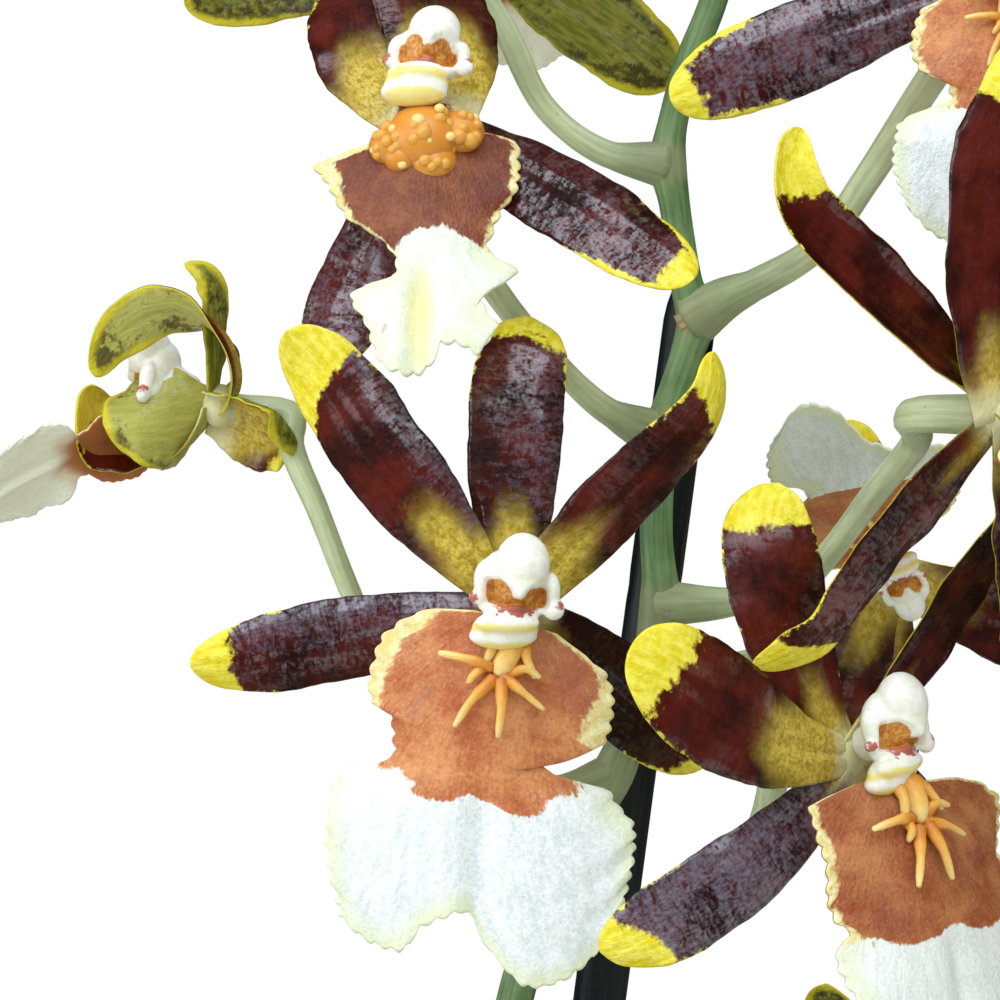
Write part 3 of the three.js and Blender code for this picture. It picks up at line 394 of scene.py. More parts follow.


# The lip: brown with a pale scalloped rim above, a white fan with a greenish edge below. The sign of the
# first side number tells face from back, and its size less one is painted shade: how much the brown and the
# white fan are darkened.
def lipFinish():
    f = Finish("lip")
    flat, paint, side = f.fact("flat"), f.fact("paint"), f.fact("side")
    border, rim, glow = f.parts(paint)
    front, rays, ring = f.parts(side)
    # the lip's painted shade, read from the size of the first side number
    tone = f.sum("ABSOLUTE", front, 0) - 1
    ray = f.node("CombineXYZ", {}, {0: rays, 1: ring, 2: f.parts(flat)[2]}).outputs[0]
    veins = f.noise(f.stretched(ray, (1.7, 0.3, 1)), 1, 4, 0.62, 0.5)
    cloud = f.noise(flat, 0.22, 4, 0.6)
    crumb = f.noise(flat, 0.9, 4, 0.65)
    fine = f.noise(flat, 2.8, 3, 0.6)
    fanMask = f.rise(border + (veins - 0.5) * 0.9 + (crumb - 0.5) * 0.9 + (cloud - 0.5) * 1.6, -0.14, 0.14)
    brown = f.blend(f.rise(cloud * 0.7 + veins * 0.15 + fine * 0.35, 0.42, 0.78), "b05a2c", "da9a60")
    mauve = f.noise(flat, 0.16, 3, 0.5, 0.4)
    brown = f.blend(f.rise(mauve - rim * 0.02, 0.44, 0.6) * f.rise(veins, 0.3, 0.6) * 0.6, brown, "9c5a4e")
    brown = f.blend(f.rise(veins + fine * 0.3, 0.56, 0.42) * f.rise(rim, 6.0, 1.0) * 0.5, brown, "8a3a24")
    brown = f.blend(f.rise(fine, 0.66, 0.78) * 0.4, brown, "f0b890")
    # painted shade: the brown darkened towards a deep red-brown
    brown = f.blend(tone, brown, f.blend(f.rise(cloud * 0.6 + fine * 0.4, 0.4, 0.7), "561900", "863a04"))
    rimMask = f.rise((crumb - 0.5) * 1.6 + (cloud - 0.5) * 2.4 + (veins - 0.5) * 1.6 + 1.1 - rim, 0.0, 0.7)
    brown = f.blend(rimMask, brown, f.blend(f.rise(crumb, 0.35, 0.7), "e2cc7c", "f6eeb8"))
    white = f.blend(f.rise(veins * 0.5 + fine * 0.5, 0.36, 0.62), "d4dfdd", "f2f7f5")
    white = f.blend(f.rise(rim + (crumb - 0.5) * 1.6, 3.0, 0.1) * 0.65, white, "dfe9ae")
    glowing = f.rise(glow + (cloud - 0.5) * 0.8 + (veins - 0.5) * 0.4, 0.2, 1.0)
    white = f.blend(glowing * 0.75, white, "efe650")
    fleck = f.rise(f.noise(f.stretched(ray, (1.1, 0.3, 1)), 0.9, 1, 0.4), 0.775, 0.80)
    white = f.blend(fleck * 0.7, white, "9a7c48")
    # painted shade on the white fan
    white = f.blend(tone * 0.6, white, "dde2c0")
    face = f.blend(fanMask, brown, white)
    pale = f.blend(f.rise(veins, 0.3, 0.7), "eef2d8", "fbfce8")
    rear = f.blend(f.rise(border + (cloud - 0.5) * 2, -3, 2), "b5703c", pale)
    colour = f.blend(f.rise(front, -0.4, 0.4), rear, face)
    height = veins * 0.8 + crumb * 0.5 + fine * 0.6
    return f.dress(colour, f.rise(crumb, 0.2, 0.8) * 0.12 + 0.4, height, 0.55, 0.0004,
                   **{"Subsurface Weight": 0.25, "Subsurface Scale": 0.0013,
                      "Subsurface Radius": (1, 0.8, 0.6)})


# The fingers of the callus: orange at the root, pale yellow at the tips
def callusFinish():
    f = Finish("callus")
    share = f.parts(f.fact("paint"))[0]
    crumb = f.noise(f.fact("flat"), 1.2, 3, 0.6)
    along = share + (crumb - 0.5) * 0.5
    colour = f.ramp(along, (0.0, "c67422"), (1.0, "f6dc92"), (0.25, "dc9434"), (0.6, "ecbe60"))
    return f.dress(colour, 0.34, crumb, 0.4, 0.0003, **{"Subsurface Weight": 0.15, "Subsurface Scale": 0.001})


# The column: a white cap and wings, an orange hollow with red-brown marks round it and a yellowish chin
def columnFinish():
    f = Finish("column")
    own, look = f.fact("flat"), f.fact("paint")
    hollow, marks, chin = f.parts(look)
    crumb = f.noise(own, 1.5, 4, 0.6)
    fine = f.noise(own, 3.2, 3, 0.6)
    colour = f.blend(f.rise(crumb, 0.3, 0.7), "e9eadd", "f8f9f2")
    cloud = f.noise(own, 0.5, 3, 0.6)
    colour = f.blend(f.rise(cloud, 0.45, 0.65) * 0.5, colour, "dfe6c2")
    yellow = f.rise(chin + (crumb - 0.5) * 1.2 + (cloud - 0.5) * 1.4, 0.3, 0.9)
    colour = f.blend(yellow * 0.85, colour, "f0e274")
    orange = f.blend(f.rise(crumb * 0.5 + fine * 0.5, 0.4, 0.6), "b5691c", "dba04a")
    colour = f.blend(f.rise(marks + (fine - 0.5) * 1.5 + (crumb - 0.5), 0.45, 0.75) * 0.9, colour, "a83c18")
    colour = f.blend(f.rise(hollow + (crumb - 0.5) * 0.5, 0.42, 0.58), colour, orange)
    return f.dress(colour, 0.3, crumb, 0.2, 0.0003, **{"Subsurface Weight": 0.2, "Subsurface Scale": 0.0015})


# Stems and stalks: waxy grey-green, paler on the slim stalks and flushed brown near the joints
def stemFinish():
    f = Finish("stem")
    flat = f.fact("flat")
    flush, slim = f.parts(f.fact("paint"))[1:]
    cloud = f.noise(flat, 0.12, 4, 0.6)
    streak = f.noise(f.stretched(flat, (1.6, 0.1, 1)), 1, 3, 0.6)
    mottle = f.rise(cloud * 0.6 + streak * 0.5, 0.35, 0.75)
    colour = f.blend(slim, f.blend(mottle, "4a6d42", "84a26c"), f.blend(mottle, "aab68a", "dae4b8"))
    colour = f.blend(f.rise(flush + (streak - 0.5) * 0.9, 0.35, 0.9) * 0.45, colour, "a59a78")
    speck = f.rise(f.noise(flat, 1.6, 2, 0.5), 0.7, 0.75) * 0.35
    colour = f.blend(speck, colour, "5e4a34")
    return f.dress(colour, f.rise(cloud, 0.3, 0.7) * 0.12 + 0.38, streak + cloud * 0.5, 0.35, 0.0003)


# Dry bracts and sheaths: thin, papery and straw brown
def paperFinish():
    f = Finish("paper")
    flat = f.fact("flat")
    streak = f.noise(f.stretched(flat, (1.8, 0.08, 1)), 1, 4, 0.6)
    cloud = f.noise(flat, 0.25, 3, 0.6)
    colour = f.ramp(streak * 0.7 + cloud * 0.4, (0.3, "7c6440"), (0.8, "d8cba4"), (0.55, "b39d70"))
    return f.dress(colour, 0.7, streak, 0.6, 0.0004)


# Buds: olive streaks with brown clouds towards the tip
def budFinish():
    f = Finish("bud")
    flat = f.fact("flat")
    share = f.parts(f.fact("paint"))[0]
    crumb = f.noise(flat, 0.8, 4, 0.6)
    streak = f.noise(f.stretched(flat, (1.5, 0.12, 1)), 1, 3, 0.6)
    colour = f.blend(f.rise(streak, 0.3, 0.7), "6e7430", "9a9c4c")
    colour = f.blend(f.rise(crumb + share * 0.25, 0.62, 0.78) * 0.8, colour, "4a2716")
    return f.dress(colour, 0.38, streak, 0.4, 0.0003)


# Strap leaves: satin green, fine veins along, a paler midline and a dry tip
def leafFinish():
    f = Finish("leaf")
    flat = f.fact("flat")
    share, across, front = f.parts(f.fact("paint"))
    cloud = f.noise(flat, 0.035, 4, 0.6)
    vein = f.noise(f.stretched(flat, (1.25, 0.008, 1)), 1, 2, 0.5)
    fine = f.noise(f.stretched(flat, (3.4, 0.03, 1)), 1, 2, 0.5)
    colour = f.blend(f.rise(cloud * 0.7 + vein * 0.4, 0.35, 0.75), "2c5a22", "558a38")
    colour = f.blend(f.rise(across, 0.16, 0.0) * 0.35, colour, "7fae58")
    colour = f.blend(f.rise(across + (cloud - 0.5) * 0.2, 0.86, 1.0) * 0.3, colour, "8aa04a")
    colour = f.blend(f.rise(share + (cloud - 0.5) * 0.06, 0.955, 0.985), colour, "8a6a3a")
    colour = f.blend(f.rise(front, -0.4, 0.4), f.blend(0.4, colour, "84a867"), colour)
    speck = f.rise(f.noise(flat, 0.5, 2, 0.5), 0.74, 0.78) * 0.4
    colour = f.blend(speck, colour, "4a4a20")
    return f.dress(colour, f.rise(cloud, 0.3, 0.7) * 0.1 + 0.33, vein * 1.2 + fine * 0.4, 0.45, 0.0005)


# Pseudobulbs: smooth yellow-green, paler ridges, brown scars near the foot
def bulbFinish():
    f = Finish("bulb")
    flat, paint = f.fact("flat"), f.fact("paint")
    share, ridge, old = f.parts(paint)
    cloud = f.noise(flat, 0.07, 4, 0.6)
    streak = f.noise(f.stretched(flat, (0.9, 0.06, 1)), 1, 4, 0.6)
    colour = f.blend(f.rise(cloud * 0.6 + streak * 0.5, 0.35, 0.72), "5f7c34", "9db060")
    colour = f.blend(f.rise(ridge, 0.2, 0.9) * 0.25, colour, "bcc47c")
    colour = f.blend(old * 0.6, colour, "97884a")
    colour = f.blend(f.rise(share + (streak - 0.5) * 0.35, 0.22, 0.02) * 0.8, colour, "7a5a34")
    speck = f.rise(f.noise(flat, 0.5, 3, 0.6), 0.66, 0.74) * 0.6
    colour = f.blend(speck, colour, "4d3a1e")
    return f.dress(colour, f.rise(cloud, 0.3, 0.7) * 0.15 + 0.36, streak * 1.2 + cloud, 0.5, 0.0006)


# Bark chips: layered browns, each chip with a tone of its own
def barkFinish():
    f = Finish("bark")
    flat = f.fact("flat")
    tone = f.parts(f.fact("paint"))[0]
    layer = f.noise(f.stretched(flat, (0.35, 1.6, 0.35)), 1, 5, 0.65, 0.4)
    crumb = f.noise(flat, 0.9, 4, 0.7)
    layered = layer * 0.55 + tone * 0.6
    colour = f.ramp(layered, (0.2, "2a1a10"), (0.95, "b58a5a"), (0.45, "5a3a22"), (0.7, "85603a"))
    colour = f.blend(f.rise(crumb, 0.62, 0.8) * 0.5, colour, "1d130c")
    return f.dress(colour, 0.88, layer * 1.4 + crumb * 0.8, 0.9, 0.0012)


# Fired clay: warm, a little darker where damp, with pale salt near the rim and fine turning lines
def clayFinish():
    f = Finish("clay")
    flat = f.fact("flat")
    share = f.parts(f.fact("paint"))[0]
    cloud = f.noise(flat, 0.025, 5, 0.6)
    crumb = f.noise(flat, 0.7, 4, 0.7)
    lines = f.noise(f.stretched(flat, (0.012, 0.9, 0.2)), 1, 3, 0.6)
    colour = f.blend(f.rise(cloud * 0.7 + crumb * 0.3, 0.3, 0.7), "9a4f2c", "c67a50")
    colour = f.blend(f.rise(cloud + lines * 0.3, 0.62, 0.85) * 0.5, colour, "d9b79c")
    colour = f.blend(f.rise(crumb, 0.68, 0.78) * 0.4, colour, "7a3c22")
    colour = f.blend(f.rise(share + (cloud - 0.5) * 0.5, 0.22, 0.0) * 0.35, colour, "6d3a24")
    return f.dress(colour, 0.86, lines * 0.9 + crumb * 0.7, 0.55, 0.0006)


# Roots: dull silver with a smooth green growing end
def rootFinish():
    f = Finish("root")
    flat = f.fact("flat")
    share = f.parts(f.fact("paint"))[0]
    crumb = f.noise(flat, 0.7, 4, 0.65)
    colour = f.blend(f.rise(crumb, 0.3, 0.7), "a8a48c", "d8d6c4")
    colour = f.blend(f.rise(share + (crumb - 0.5) * 0.1, 0.86, 0.93), colour, "7fa04a")
    return f.dress(colour, f.rise(share, 0.9, 0.84) * 0.4 + 0.4, crumb, 0.6, 0.0005)


# The stake: a dark blue-green coat with long scuffs
def stakeFinish():
    f = Finish("stake")
    flat = f.fact("flat")
    cloud = f.noise(flat, 0.08, 4, 0.6)
    scuff = f.noise(f.stretched(flat, (1.2, 0.06, 1)), 1, 4, 0.65)
    colour = f.blend(f.rise(cloud * 0.6 + scuff * 0.5, 0.4, 0.75), "04090a", "102024")
    colour = f.blend(f.rise(scuff, 0.68, 0.8) * 0.3, colour, "3a4a48")
    return f.dress(colour, f.rise(scuff, 0.3, 0.8) * 0.25 + 0.36, scuff, 0.4, 0.0003)


# Clips: plain green moulding
def clipFinish():
    f = Finish("clip")
    flat = f.fact("flat")
    cloud = f.noise(flat, 0.3, 3, 0.6)
    colour = f.blend(f.rise(cloud, 0.3, 0.7), "3c7a2c", "58984a")
    return f.dress(colour, f.rise(cloud, 0.3, 0.7) * 0.15 + 0.3, f.noise(flat, 2.2, 3, 0.6), 0.15, 0.0003)


tepalSkin, lipSkin, callusSkin, columnSkin = tepalFinish(), lipFinish(), callusFinish(), columnFinish()
stemSkin, paperSkin, budSkin, leafSkin = stemFinish(), paperFinish(), budFinish(), leafFinish()
bulbSkin, barkSkin, claySkin, rootSkin = bulbFinish(), barkFinish(), clayFinish(), rootFinish()
stakeSkin, clipSkin = stakeFinish(), clipFinish()
print("finishes made")


# Blades: petals, sepals, lips and leaves

# The run of a blade: centre, side and normal at any share u of its length. With e = ease((u - 0.7) / 0.3),
# its heading is turn + sway u + hook e and its slope lift + bend u + curl e; the centre sums small steps that
# way and twist u turns it.
def bladeRun(spec, share):
    steps = 240
    turn, lift = spec["turn"], spec["lift"]
    sway, hook, bend, curl, twist = [spec.get(key, 0) for key in ("sway", "hook", "bend", "curl", "twist")]

    def heading(u):
        late = ease((u - 0.7) / 0.3)
        bearing = np.radians(turn + sway * u + hook * late)
        slope = np.radians(lift + bend * u + curl * late)
        level = np.cos(slope)
        ahead = np.stack([level * np.cos(bearing), level * np.sin(bearing), np.sin(slope)], -1)
        return ahead, np.stack([-np.sin(bearing), np.cos(bearing), 0 * bearing], -1)

    ahead, _ = heading((np.arange(steps) + 0.5) / steps)
    centres = np.vstack([np.zeros(3), np.cumsum(ahead * spec["length"] / steps, 0)])
    centre = np.stack([np.interp(share, np.linspace(0, 1, steps + 1), centres[:, k]) for k in range(3)], -1)
    ahead, side = heading(np.clip(share, 0, 1))
    centre = centre + ahead * (np.minimum(share, 0) * spec["length"])[..., None]
    normal = np.cross(ahead, side)
    t = np.radians(twist * np.clip(share, 0, 1))[..., None]
    return centre, side * np.cos(t) + normal * np.sin(t), normal * np.cos(t) - side * np.sin(t)


# Where a flower's own x, y and z lie: y up and z out of its face, turned by yaw, pitch and roll
def bloomPlace(at, face):
    y, p, r = np.radians(face)
    base = np.array([[1, 0, 0], [0, 0, -1], [0, 1, 0]], float)
    rollTurn = np.array([[cos(r), -sin(r), 0], [sin(r), cos(r), 0], [0, 0, 1]])
    pitchTurn = np.array([[1, 0, 0], [0, cos(p), sin(p)], [0, -sin(p), cos(p)]])
    yawTurn = np.array([[cos(y), 0, sin(y)], [0, 1, 0], [-sin(y), 0, cos(y)]])
    turned = base @ yawTurn @ pitchTurn @ rollTurn
    return lambda points: np.asarray(points) @ turned.T + np.array(at)


# Half the width of a tepal as a share of the widest: it swells from the claw, then rounds off to the tip
def tepalOutline(u, claw, widest, blunt):
    swell = claw + (1 - claw) * np.sin(pi / 2 * np.clip(u / widest, 0, 1)) ** 1.5
    drop = np.sqrt(np.clip(1 - np.clip((u - widest) / (1 - widest), 0, 1) ** blunt, 0, 1))
    return np.maximum(np.where(u < widest, swell, drop), 0.04)


tepalGrid = {"rows": 64, "columns": 27, "thickness": 0.7, "groove": 0.35, "keel": 0.3, "ruffle": 0.45,
             "waves": 2.6, "uneven": 0.035, "nicks": 0.022, "grain": 0.05, "rimFrom": 0.55}
# What a tepal has where its own entry says nothing: its outline, then where its colours begin, then its
# painted shade and light and its painted sheen
tepalUsual = {"claw": 0.5, "widest": 0.56, "blunt": 2.6, "cup": 0, "tip": 4.2, "slant": 0, "rim": 0.55,
              "foot": 6.5, "tone": 0, "paintedSheen": 0.12, "paintedSheenSide": 0, "faces": 1}


# A tepal: an arc of the cup angle across, along its run, with wavy edges and a groove down the middle
def addTepal(skin, spec, seed):
    spec = {**tepalUsual, **spec}
    t = np.linspace(0, 1, tepalGrid["rows"])
    u = (1 - (1 - t) ** 1.5)[:, None]
    v = np.linspace(-1, 1, tepalGrid["columns"])[None]
    centre, side, normal = bladeRun(spec, u[:, 0])
    uneven = tepalGrid["uneven"] * wander(u + 0.3 * np.sign(v), 2.2, seed)
    uneven = uneven + tepalGrid["nicks"] * wander(u + 0.7 * np.sign(v), 7.5, seed + 9)
    uneven = 1 + uneven * ease(u / 0.3) * ease((1 - u) / 0.06)
    half = spec["width"] / 2 * tepalOutline(u, spec["claw"], spec["widest"], spec["blunt"]) * uneven
    cup = np.radians(spec["cup"]) + 1e-4
    x = half * np.sin(cup * v) / cup
    z = half * (1 - np.cos(cup * v)) / cup
    wave = wander(u + 0.2 * np.sign(v), tepalGrid["waves"], seed + 1)
    z = z + tepalGrid["ruffle"] * np.abs(v) ** 2.5 * wave * ease(u / 0.35) * ease((1 - u) / 0.08)
    inward = np.sign(-cup if abs(cup) > 0.01 else 1)
    groove = tepalGrid["groove"] * np.exp(-(v / 0.14) ** 2) * (1 - u) * inward
    z = z - groove + tepalGrid["grain"] * wander(v, 3.1, seed + 2) * np.minimum(1, half / 2)
    points = centre[:, None] + side[:, None] * x[..., None] + normal[:, None] * z[..., None]
    outward = normal[:, None] * np.cos(cup * v)[..., None] - side[:, None] * np.sin(cup * v)[..., None]
    thick = (tepalGrid["thickness"] / 2 * (1 - 0.6 * v**2) * (1 - 0.35 * u))[..., None]
    rib = (tepalGrid["keel"] * np.exp(-(v / 0.1) ** 2) * (1 - u))[..., None]
    length = spec["length"]
    tip = u * length - length + spec["tip"] + spec["slant"] * v
    edge = np.minimum(half * (1 - np.abs(v)), (1 - u) * length) + 0 * v
    rimWidth = spec["rim"] * ease((u - tepalGrid["rimFrom"]) / 0.25) - 0.3 + 0 * v
    foot = u * length - spec["foot"] + 0 * v
    # how much painted sheen the tepal carries, changing across it, signed by the side it is on
    paintedSheenShare = spec["faces"] * (1 + np.clip(spec["paintedSheen"] + spec["paintedSheenSide"] * v + 0 * x, 0, 1))
    # tone: painted shade and light over the whole tepal
    tone = spec["tone"] + 0 * x
    flat = np.stack([x, u * length + 0 * v, 31.7 * seed + 0 * x], -1)
    paint = np.stack([tip + 0 * x, edge, foot], -1)
    facts = [{"flat": flat, "paint": paint, "side": np.stack([way * paintedSheenShare, rimWidth, tone], -1)}
             for way in (1, -1)]
    skin.sheet(points + outward * thick, points - outward * (thick + rib), *facts)


# Lip outlines in millimetres: half widths by the distance from the base (left where the left side differs),
# the length by the place across, and the border of the brown. Pale moves the rim in (or out) by the distance,
# minus for the left side.
evenFoot = [[-1, 29], [-0.8, 31.8], [-0.5, 33.6], [-0.2, 32.6], [0, 31], [0.2, 32.6], [0.5, 33.6],
            [0.8, 31.8], [1, 29]]
plainLip = {
    "half": [[0, 4], [1, 8], [3, 11.4], [7, 12.4], [10.5, 11.2], [12.6, 7.8], [14.6, 7.6], [15.6, 11],
             [18, 14.6], [23, 15.4], [29, 13.6]],
    "foot": evenFoot,
    "border": [[-1, 15.2], [-0.6, 16.8], [-0.25, 18.2], [0.1, 17.6], [0.5, 18], [1, 15]],
}
frontLip = {
    "left": [[0, 4.2], [1, 8.5], [2.8, 11.1], [4.7, 12.5], [7.9, 12.8], [10.1, 12.2], [10.6, 10.5], [12, 9.7],
             [14.5, 9.3], [15.2, 10.5], [15.6, 13.2], [16.9, 14.7], [18.7, 15.2], [21.4, 15.4], [28.5, 14]],
    "half": [[0, 4.3], [1.6, 8], [2.7, 10], [5.2, 11.3], [8.1, 11.6], [10.7, 11.2], [11.6, 9.5], [12, 6],
             [12.4, 5.1], [14.6, 6.4], [15.1, 9], [15.8, 12], [17.6, 13.3], [19.6, 14.8], [21.7, 15],
             [27, 14.2], [30.5, 13]],
    "foot": [[-1, 28.5], [-0.8, 30.9], [-0.6, 31.7], [-0.42, 29.6], [-0.12, 28.5], [-0.02, 31.8], [0.1, 34.2],
             [0.25, 36.5], [0.4, 37], [0.6, 36.4], [0.8, 34.5], [1, 30.5]],
    "border": [[-1, 15.4], [-0.82, 16.2], [-0.45, 17.7], [-0.23, 18], [-0.09, 17.3], [0.06, 18.2], [0.35, 19],
               [0.53, 18.5], [0.75, 17.4], [0.88, 16.5], [1, 15.1]],
    "pale": [[-18, 0], [-15, -1.3], [-12, -1], [-10.5, 0], [-9, 0.7], [-6, 1], [-3, 1.4], [-1, 0.4], [3, 0],
             [5, 0.5], [7, 1.8], [10.5, 1.9], [12, -1.2], [15, -1.3], [18, 0]],
    "turn": -106, "sway": 25,
}
sideLip = {
    "left": [[0, 5], [0.5, 10.9], [4.3, 11.1], [6.7, 11.3], [9.7, 11.8], [11.6, 11.8], [13.2, 10.6],
             [13.7, 12.1], [14.7, 12.7], [16.2, 13.1], [22, 13.2], [28, 12]],
    "half": [[0, 3.4], [1.7, 4], [2, 7], [2.4, 9.6], [3.6, 13.5], [5.8, 15.6], [8.6, 14.4], [11, 13],
             [13.6, 12.6], [14.6, 14], [18, 15], [23, 15.4], [28, 13.6]],
    "foot": evenFoot,
    "border": [[-1, 14], [-0.85, 14.3], [-0.47, 15.8], [-0.21, 16], [-0.03, 15.6], [0.23, 16.4], [0.39, 17.1],
               [0.51, 16.9], [1, 15.5]],
}
foldedLip = {
    "left": [[0, 4], [2.8, 4.6], [4.4, 9.5], [5.3, 12.9], [7.2, 11.6], [11.3, 8.7], [13.2, 5.5], [14.5, 4],
             [16.2, 3], [17.6, 3.4], [18.4, 6.7], [19.6, 8], [22.3, 6.2], [25.3, 5]],
    "half": [[0, 3.6], [2.2, 4.4], [2.9, 8.7], [3.4, 10.4], [6.4, 10.5], [8.7, 10.2], [10.2, 8.8],
             [12.5, 7.7], [14.4, 7], [15.2, 7.8], [16.9, 10.5], [17.9, 8.6], [19.9, 6.6], [20.9, 6.9],
             [22.4, 8.3], [23.7, 7.4]],
    "foot": [[-1, 25.3], [-0.78, 26.6], [-0.36, 27.2], [0.04, 26.8], [0.2, 25.9], [0.3, 24.4], [0.55, 24.5],
             [0.84, 25.3], [1, 23.7]],
    "border": [[-1, 15.9], [-0.4, 13.9], [0.05, 13], [0.3, 12.8], [0.55, 13.6], [0.8, 14.2], [1, 14.6]],
    "pale": [[-12, 0], [-9, 0.4], [-6.5, 1.6], [-4.5, 1.2], [-2, 0], [3, 0], [12, 0]],
}
backLip = {
    "half": [[0, 4], [1, 8], [3, 11.4], [7, 12.4], [10.5, 10.4], [12.6, 8], [14.6, 7.6], [15.6, 9.4],
             [18, 11.6], [23, 12.4], [29, 11]],
    "foot": [[-1, 22], [-0.8, 24.5], [-0.5, 26], [-0.2, 25], [0, 26], [0.2, 31], [0.45, 35], [0.6, 35.5],
             [0.8, 33.5], [1, 27]],
    "border": [[-1, 15.2], [-0.6, 16], [-0.25, 17], [0.1, 17], [0.5, 16.4], [1, 14]],
}
lipRunLength = 37
lipArch = [[0, 0.08], [0.2, 0.18], [0.4, 0.2], [0.55, 0.1], [1, 0.1]]
lipGrid = {"rows": 110, "columns": 81, "thickness": 0.7, "scallop": 0.5, "pitch": 1.55, "ruffle": 0.55,
           "fan": 15, "crease": 0.9, "flare": 0.7, "boss": 1.0}


# The run of a flower's lip, as a blade
def lipSpec(bloom):
    shape = bloom["lip"]
    return {"turn": bloom.get("lipTurn", shape.get("turn", -90)), "sway": shape.get("sway", 0),
            "length": lipRunLength * bloom.get("lipScale", 1), "lift": bloom.get("lipLift", 8),
            "bend": bloom.get("lipBend", -12), "twist": bloom.get("lipTwist", 0)}


# The lip: a fiddle outline on its run. The sides bend back by v squared, the edges are scalloped and wavy,
# a crease runs down the fan, whose sides flare up, and a low boss carries the callus.
def addLip(skin, bloom, seed):
    shape, scale = bloom["lip"], bloom.get("lipScale", 1)
    wide = scale * bloom.get("lipWide", 1)
    u = np.linspace(0, 1, lipGrid["rows"])[:, None]
    v = np.linspace(-1, 1, lipGrid["columns"])[None]
    foot = curveThrough(shape["foot"], v)
    ends = {way: curveThrough(shape["foot"], np.array(float(way))) for way in (-1, 1)}
    walk = u * np.where(v < 0, ends[-1], ends[1])
    left, right = curveThrough(shape.get("left", shape["half"]), walk), curveThrough(shape["half"], walk)
    half = np.where(v < 0, left, right)
    endHalf = half[-1:]
    pitch = lipGrid["pitch"]

    def lobes(s):
        return np.abs(np.sin(pi * (s + 0.5 * wander(s / 40, 2.0, seed + 5)) / pitch)) - 0.62

    sideScallop = lipGrid["scallop"] * lobes(walk) * np.abs(v) ** 12 * ease(walk / 2)
    footScallop = lipGrid["scallop"] * lobes(v * endHalf + 40) * u**16
    along = (u * foot + footScallop) / lipRunLength
    distance = along * lipRunLength
    centre, side, normal = bladeRun(lipSpec(bloom), along)
    x = (half + sideScallop) * v * wide
    back = v**2 * half * wide * curveThrough(lipArch, along)
    sideWave = wander(walk / 30, 3.2, seed) * np.abs(v) ** 3.5
    footWave = wander(v * endHalf / 30 + 3, 3.0, seed + 1) * u**5
    z = lipGrid["ruffle"] * scale * (sideWave * ease(walk / 4) + footWave)
    inFan = ease((distance - lipGrid["fan"]) / 6)
    z = z - lipGrid["crease"] * scale * inFan * np.exp(-((v * half + 0.4) / 1.3) ** 2)
    z = z + lipGrid["flare"] * scale * inFan * np.abs(v) ** 1.5
    z = z + lipGrid["boss"] * scale * np.exp(-((v * half) / 3.2) ** 2 - ((distance - 5) / 5) ** 2)
    points = (centre + side * x[..., None] + normal * (z - back)[..., None]) + np.array(bloom["lipAt"])
    thick = (lipGrid["thickness"] / 2 * (1 - 0.55 * v**2) * (1 - 0.35 * u))[..., None]
    border = distance - curveThrough(shape["border"], v)
    rim = np.minimum(half * (1 - np.abs(v)), (1 - u) * foot)
    if "pale" in shape:
        rim = rim - curveThrough(shape["pale"], np.sign(v) * distance)
    middle, spread = bloom.get("glow", (99, 1))
    glow = np.exp(-((distance - middle) / 6) ** 2 - (v * half / spread) ** 2)
    rays = np.arctan2(v * half, distance + 3) * 17
    rings = np.hypot(v * half, distance)
    # the lip's painted shade rides on the face sign
    paintedShadeSign = 1 + bloom.get("lipPaintedShade", 0) + 0 * rays
    flat = np.stack([v * half + 0 * u, distance, 17.3 * seed + 0 * rays], -1)
    paint = np.stack([border, rim, glow], -1)
    facts = [{"flat": flat, "paint": paint, "side": np.stack([way * paintedShadeSign, rays, rings], -1)}
             for way in (1, -1)]
    skin.sheet(points + normal * thick, points - normal * thick, *facts)


# Fingers of the callus as (across, along, height) in millimetres on the lip, with two radii
callusFingers = [
    ([(0.3, 0.4, 0.7), (0.2, 2.6, 1.0), (-0.3, 5.4, 0.8)], (1.5, 1.2)),
    ([(-1.3, 1.2, 1.0), (-1.6, 3.0, 1.4), (-1.8, 4.6, 1.1)], (0.75, 0.5)),
    ([(1.6, 1.6, 1.0), (2.1, 3.2, 1.4), (3.0, 5.0, 1.3)], (0.75, 0.45)),
    ([(-1.0, 4.9, 1.0), (-3.4, 4.7, 1.4), (-6.4, 4.7, 1.3)], (0.7, 0.42)),
    ([(-1.8, 5.2, 1.0), (-2.4, 6.0, 1.3), (-2.9, 6.8, 0.9)], (0.6, 0.4)),
    ([(0.8, 5.2, 1.0), (2.0, 4.4, 1.4), (3.8, 4.9, 1.5)], (0.65, 0.4)),
    ([(0.4, 5.6, 1.0), (2.4, 6.6, 1.5), (4.9, 8.0, 1.4)], (0.75, 0.36)),
    ([(-0.6, 6.0, 1.0), (-2.4, 8.4, 1.1), (-3.4, 11.0, 0.9)], (0.8, 0.42)),
    ([(0.2, 6.0, 1.2), (0.3, 8.6, 1.6), (1.0, 11.4, 1.2)], (0.8, 0.44)),
]
# A callus that is a mound instead: places as (across, along, height) and the radius of each bump
moundBumps = [
    (-0.3, 3.6, 0.2, 3.5), (-3.4, 4.4, 0.0, 2.0), (3.1, 3.0, 0.1, 2.3), (0.6, 6.0, 0.0, 2.3),
    (-2.2, 5.6, 0.3, 1.8), (-3.0, 3.6, 1.8, 0.45), (-0.6, 3.3, 2.8, 0.65), (1.3, 1.9, 2.5, 0.5),
    (2.3, 4.6, 2.0, 0.5), (-4.8, 5.2, 0.7, 0.4), (-2.1, 7.0, 1.1, 0.45), (0.4, 5.2, 2.4, 0.45),
    (4.5, 2.1, 1.2, 0.45),
]


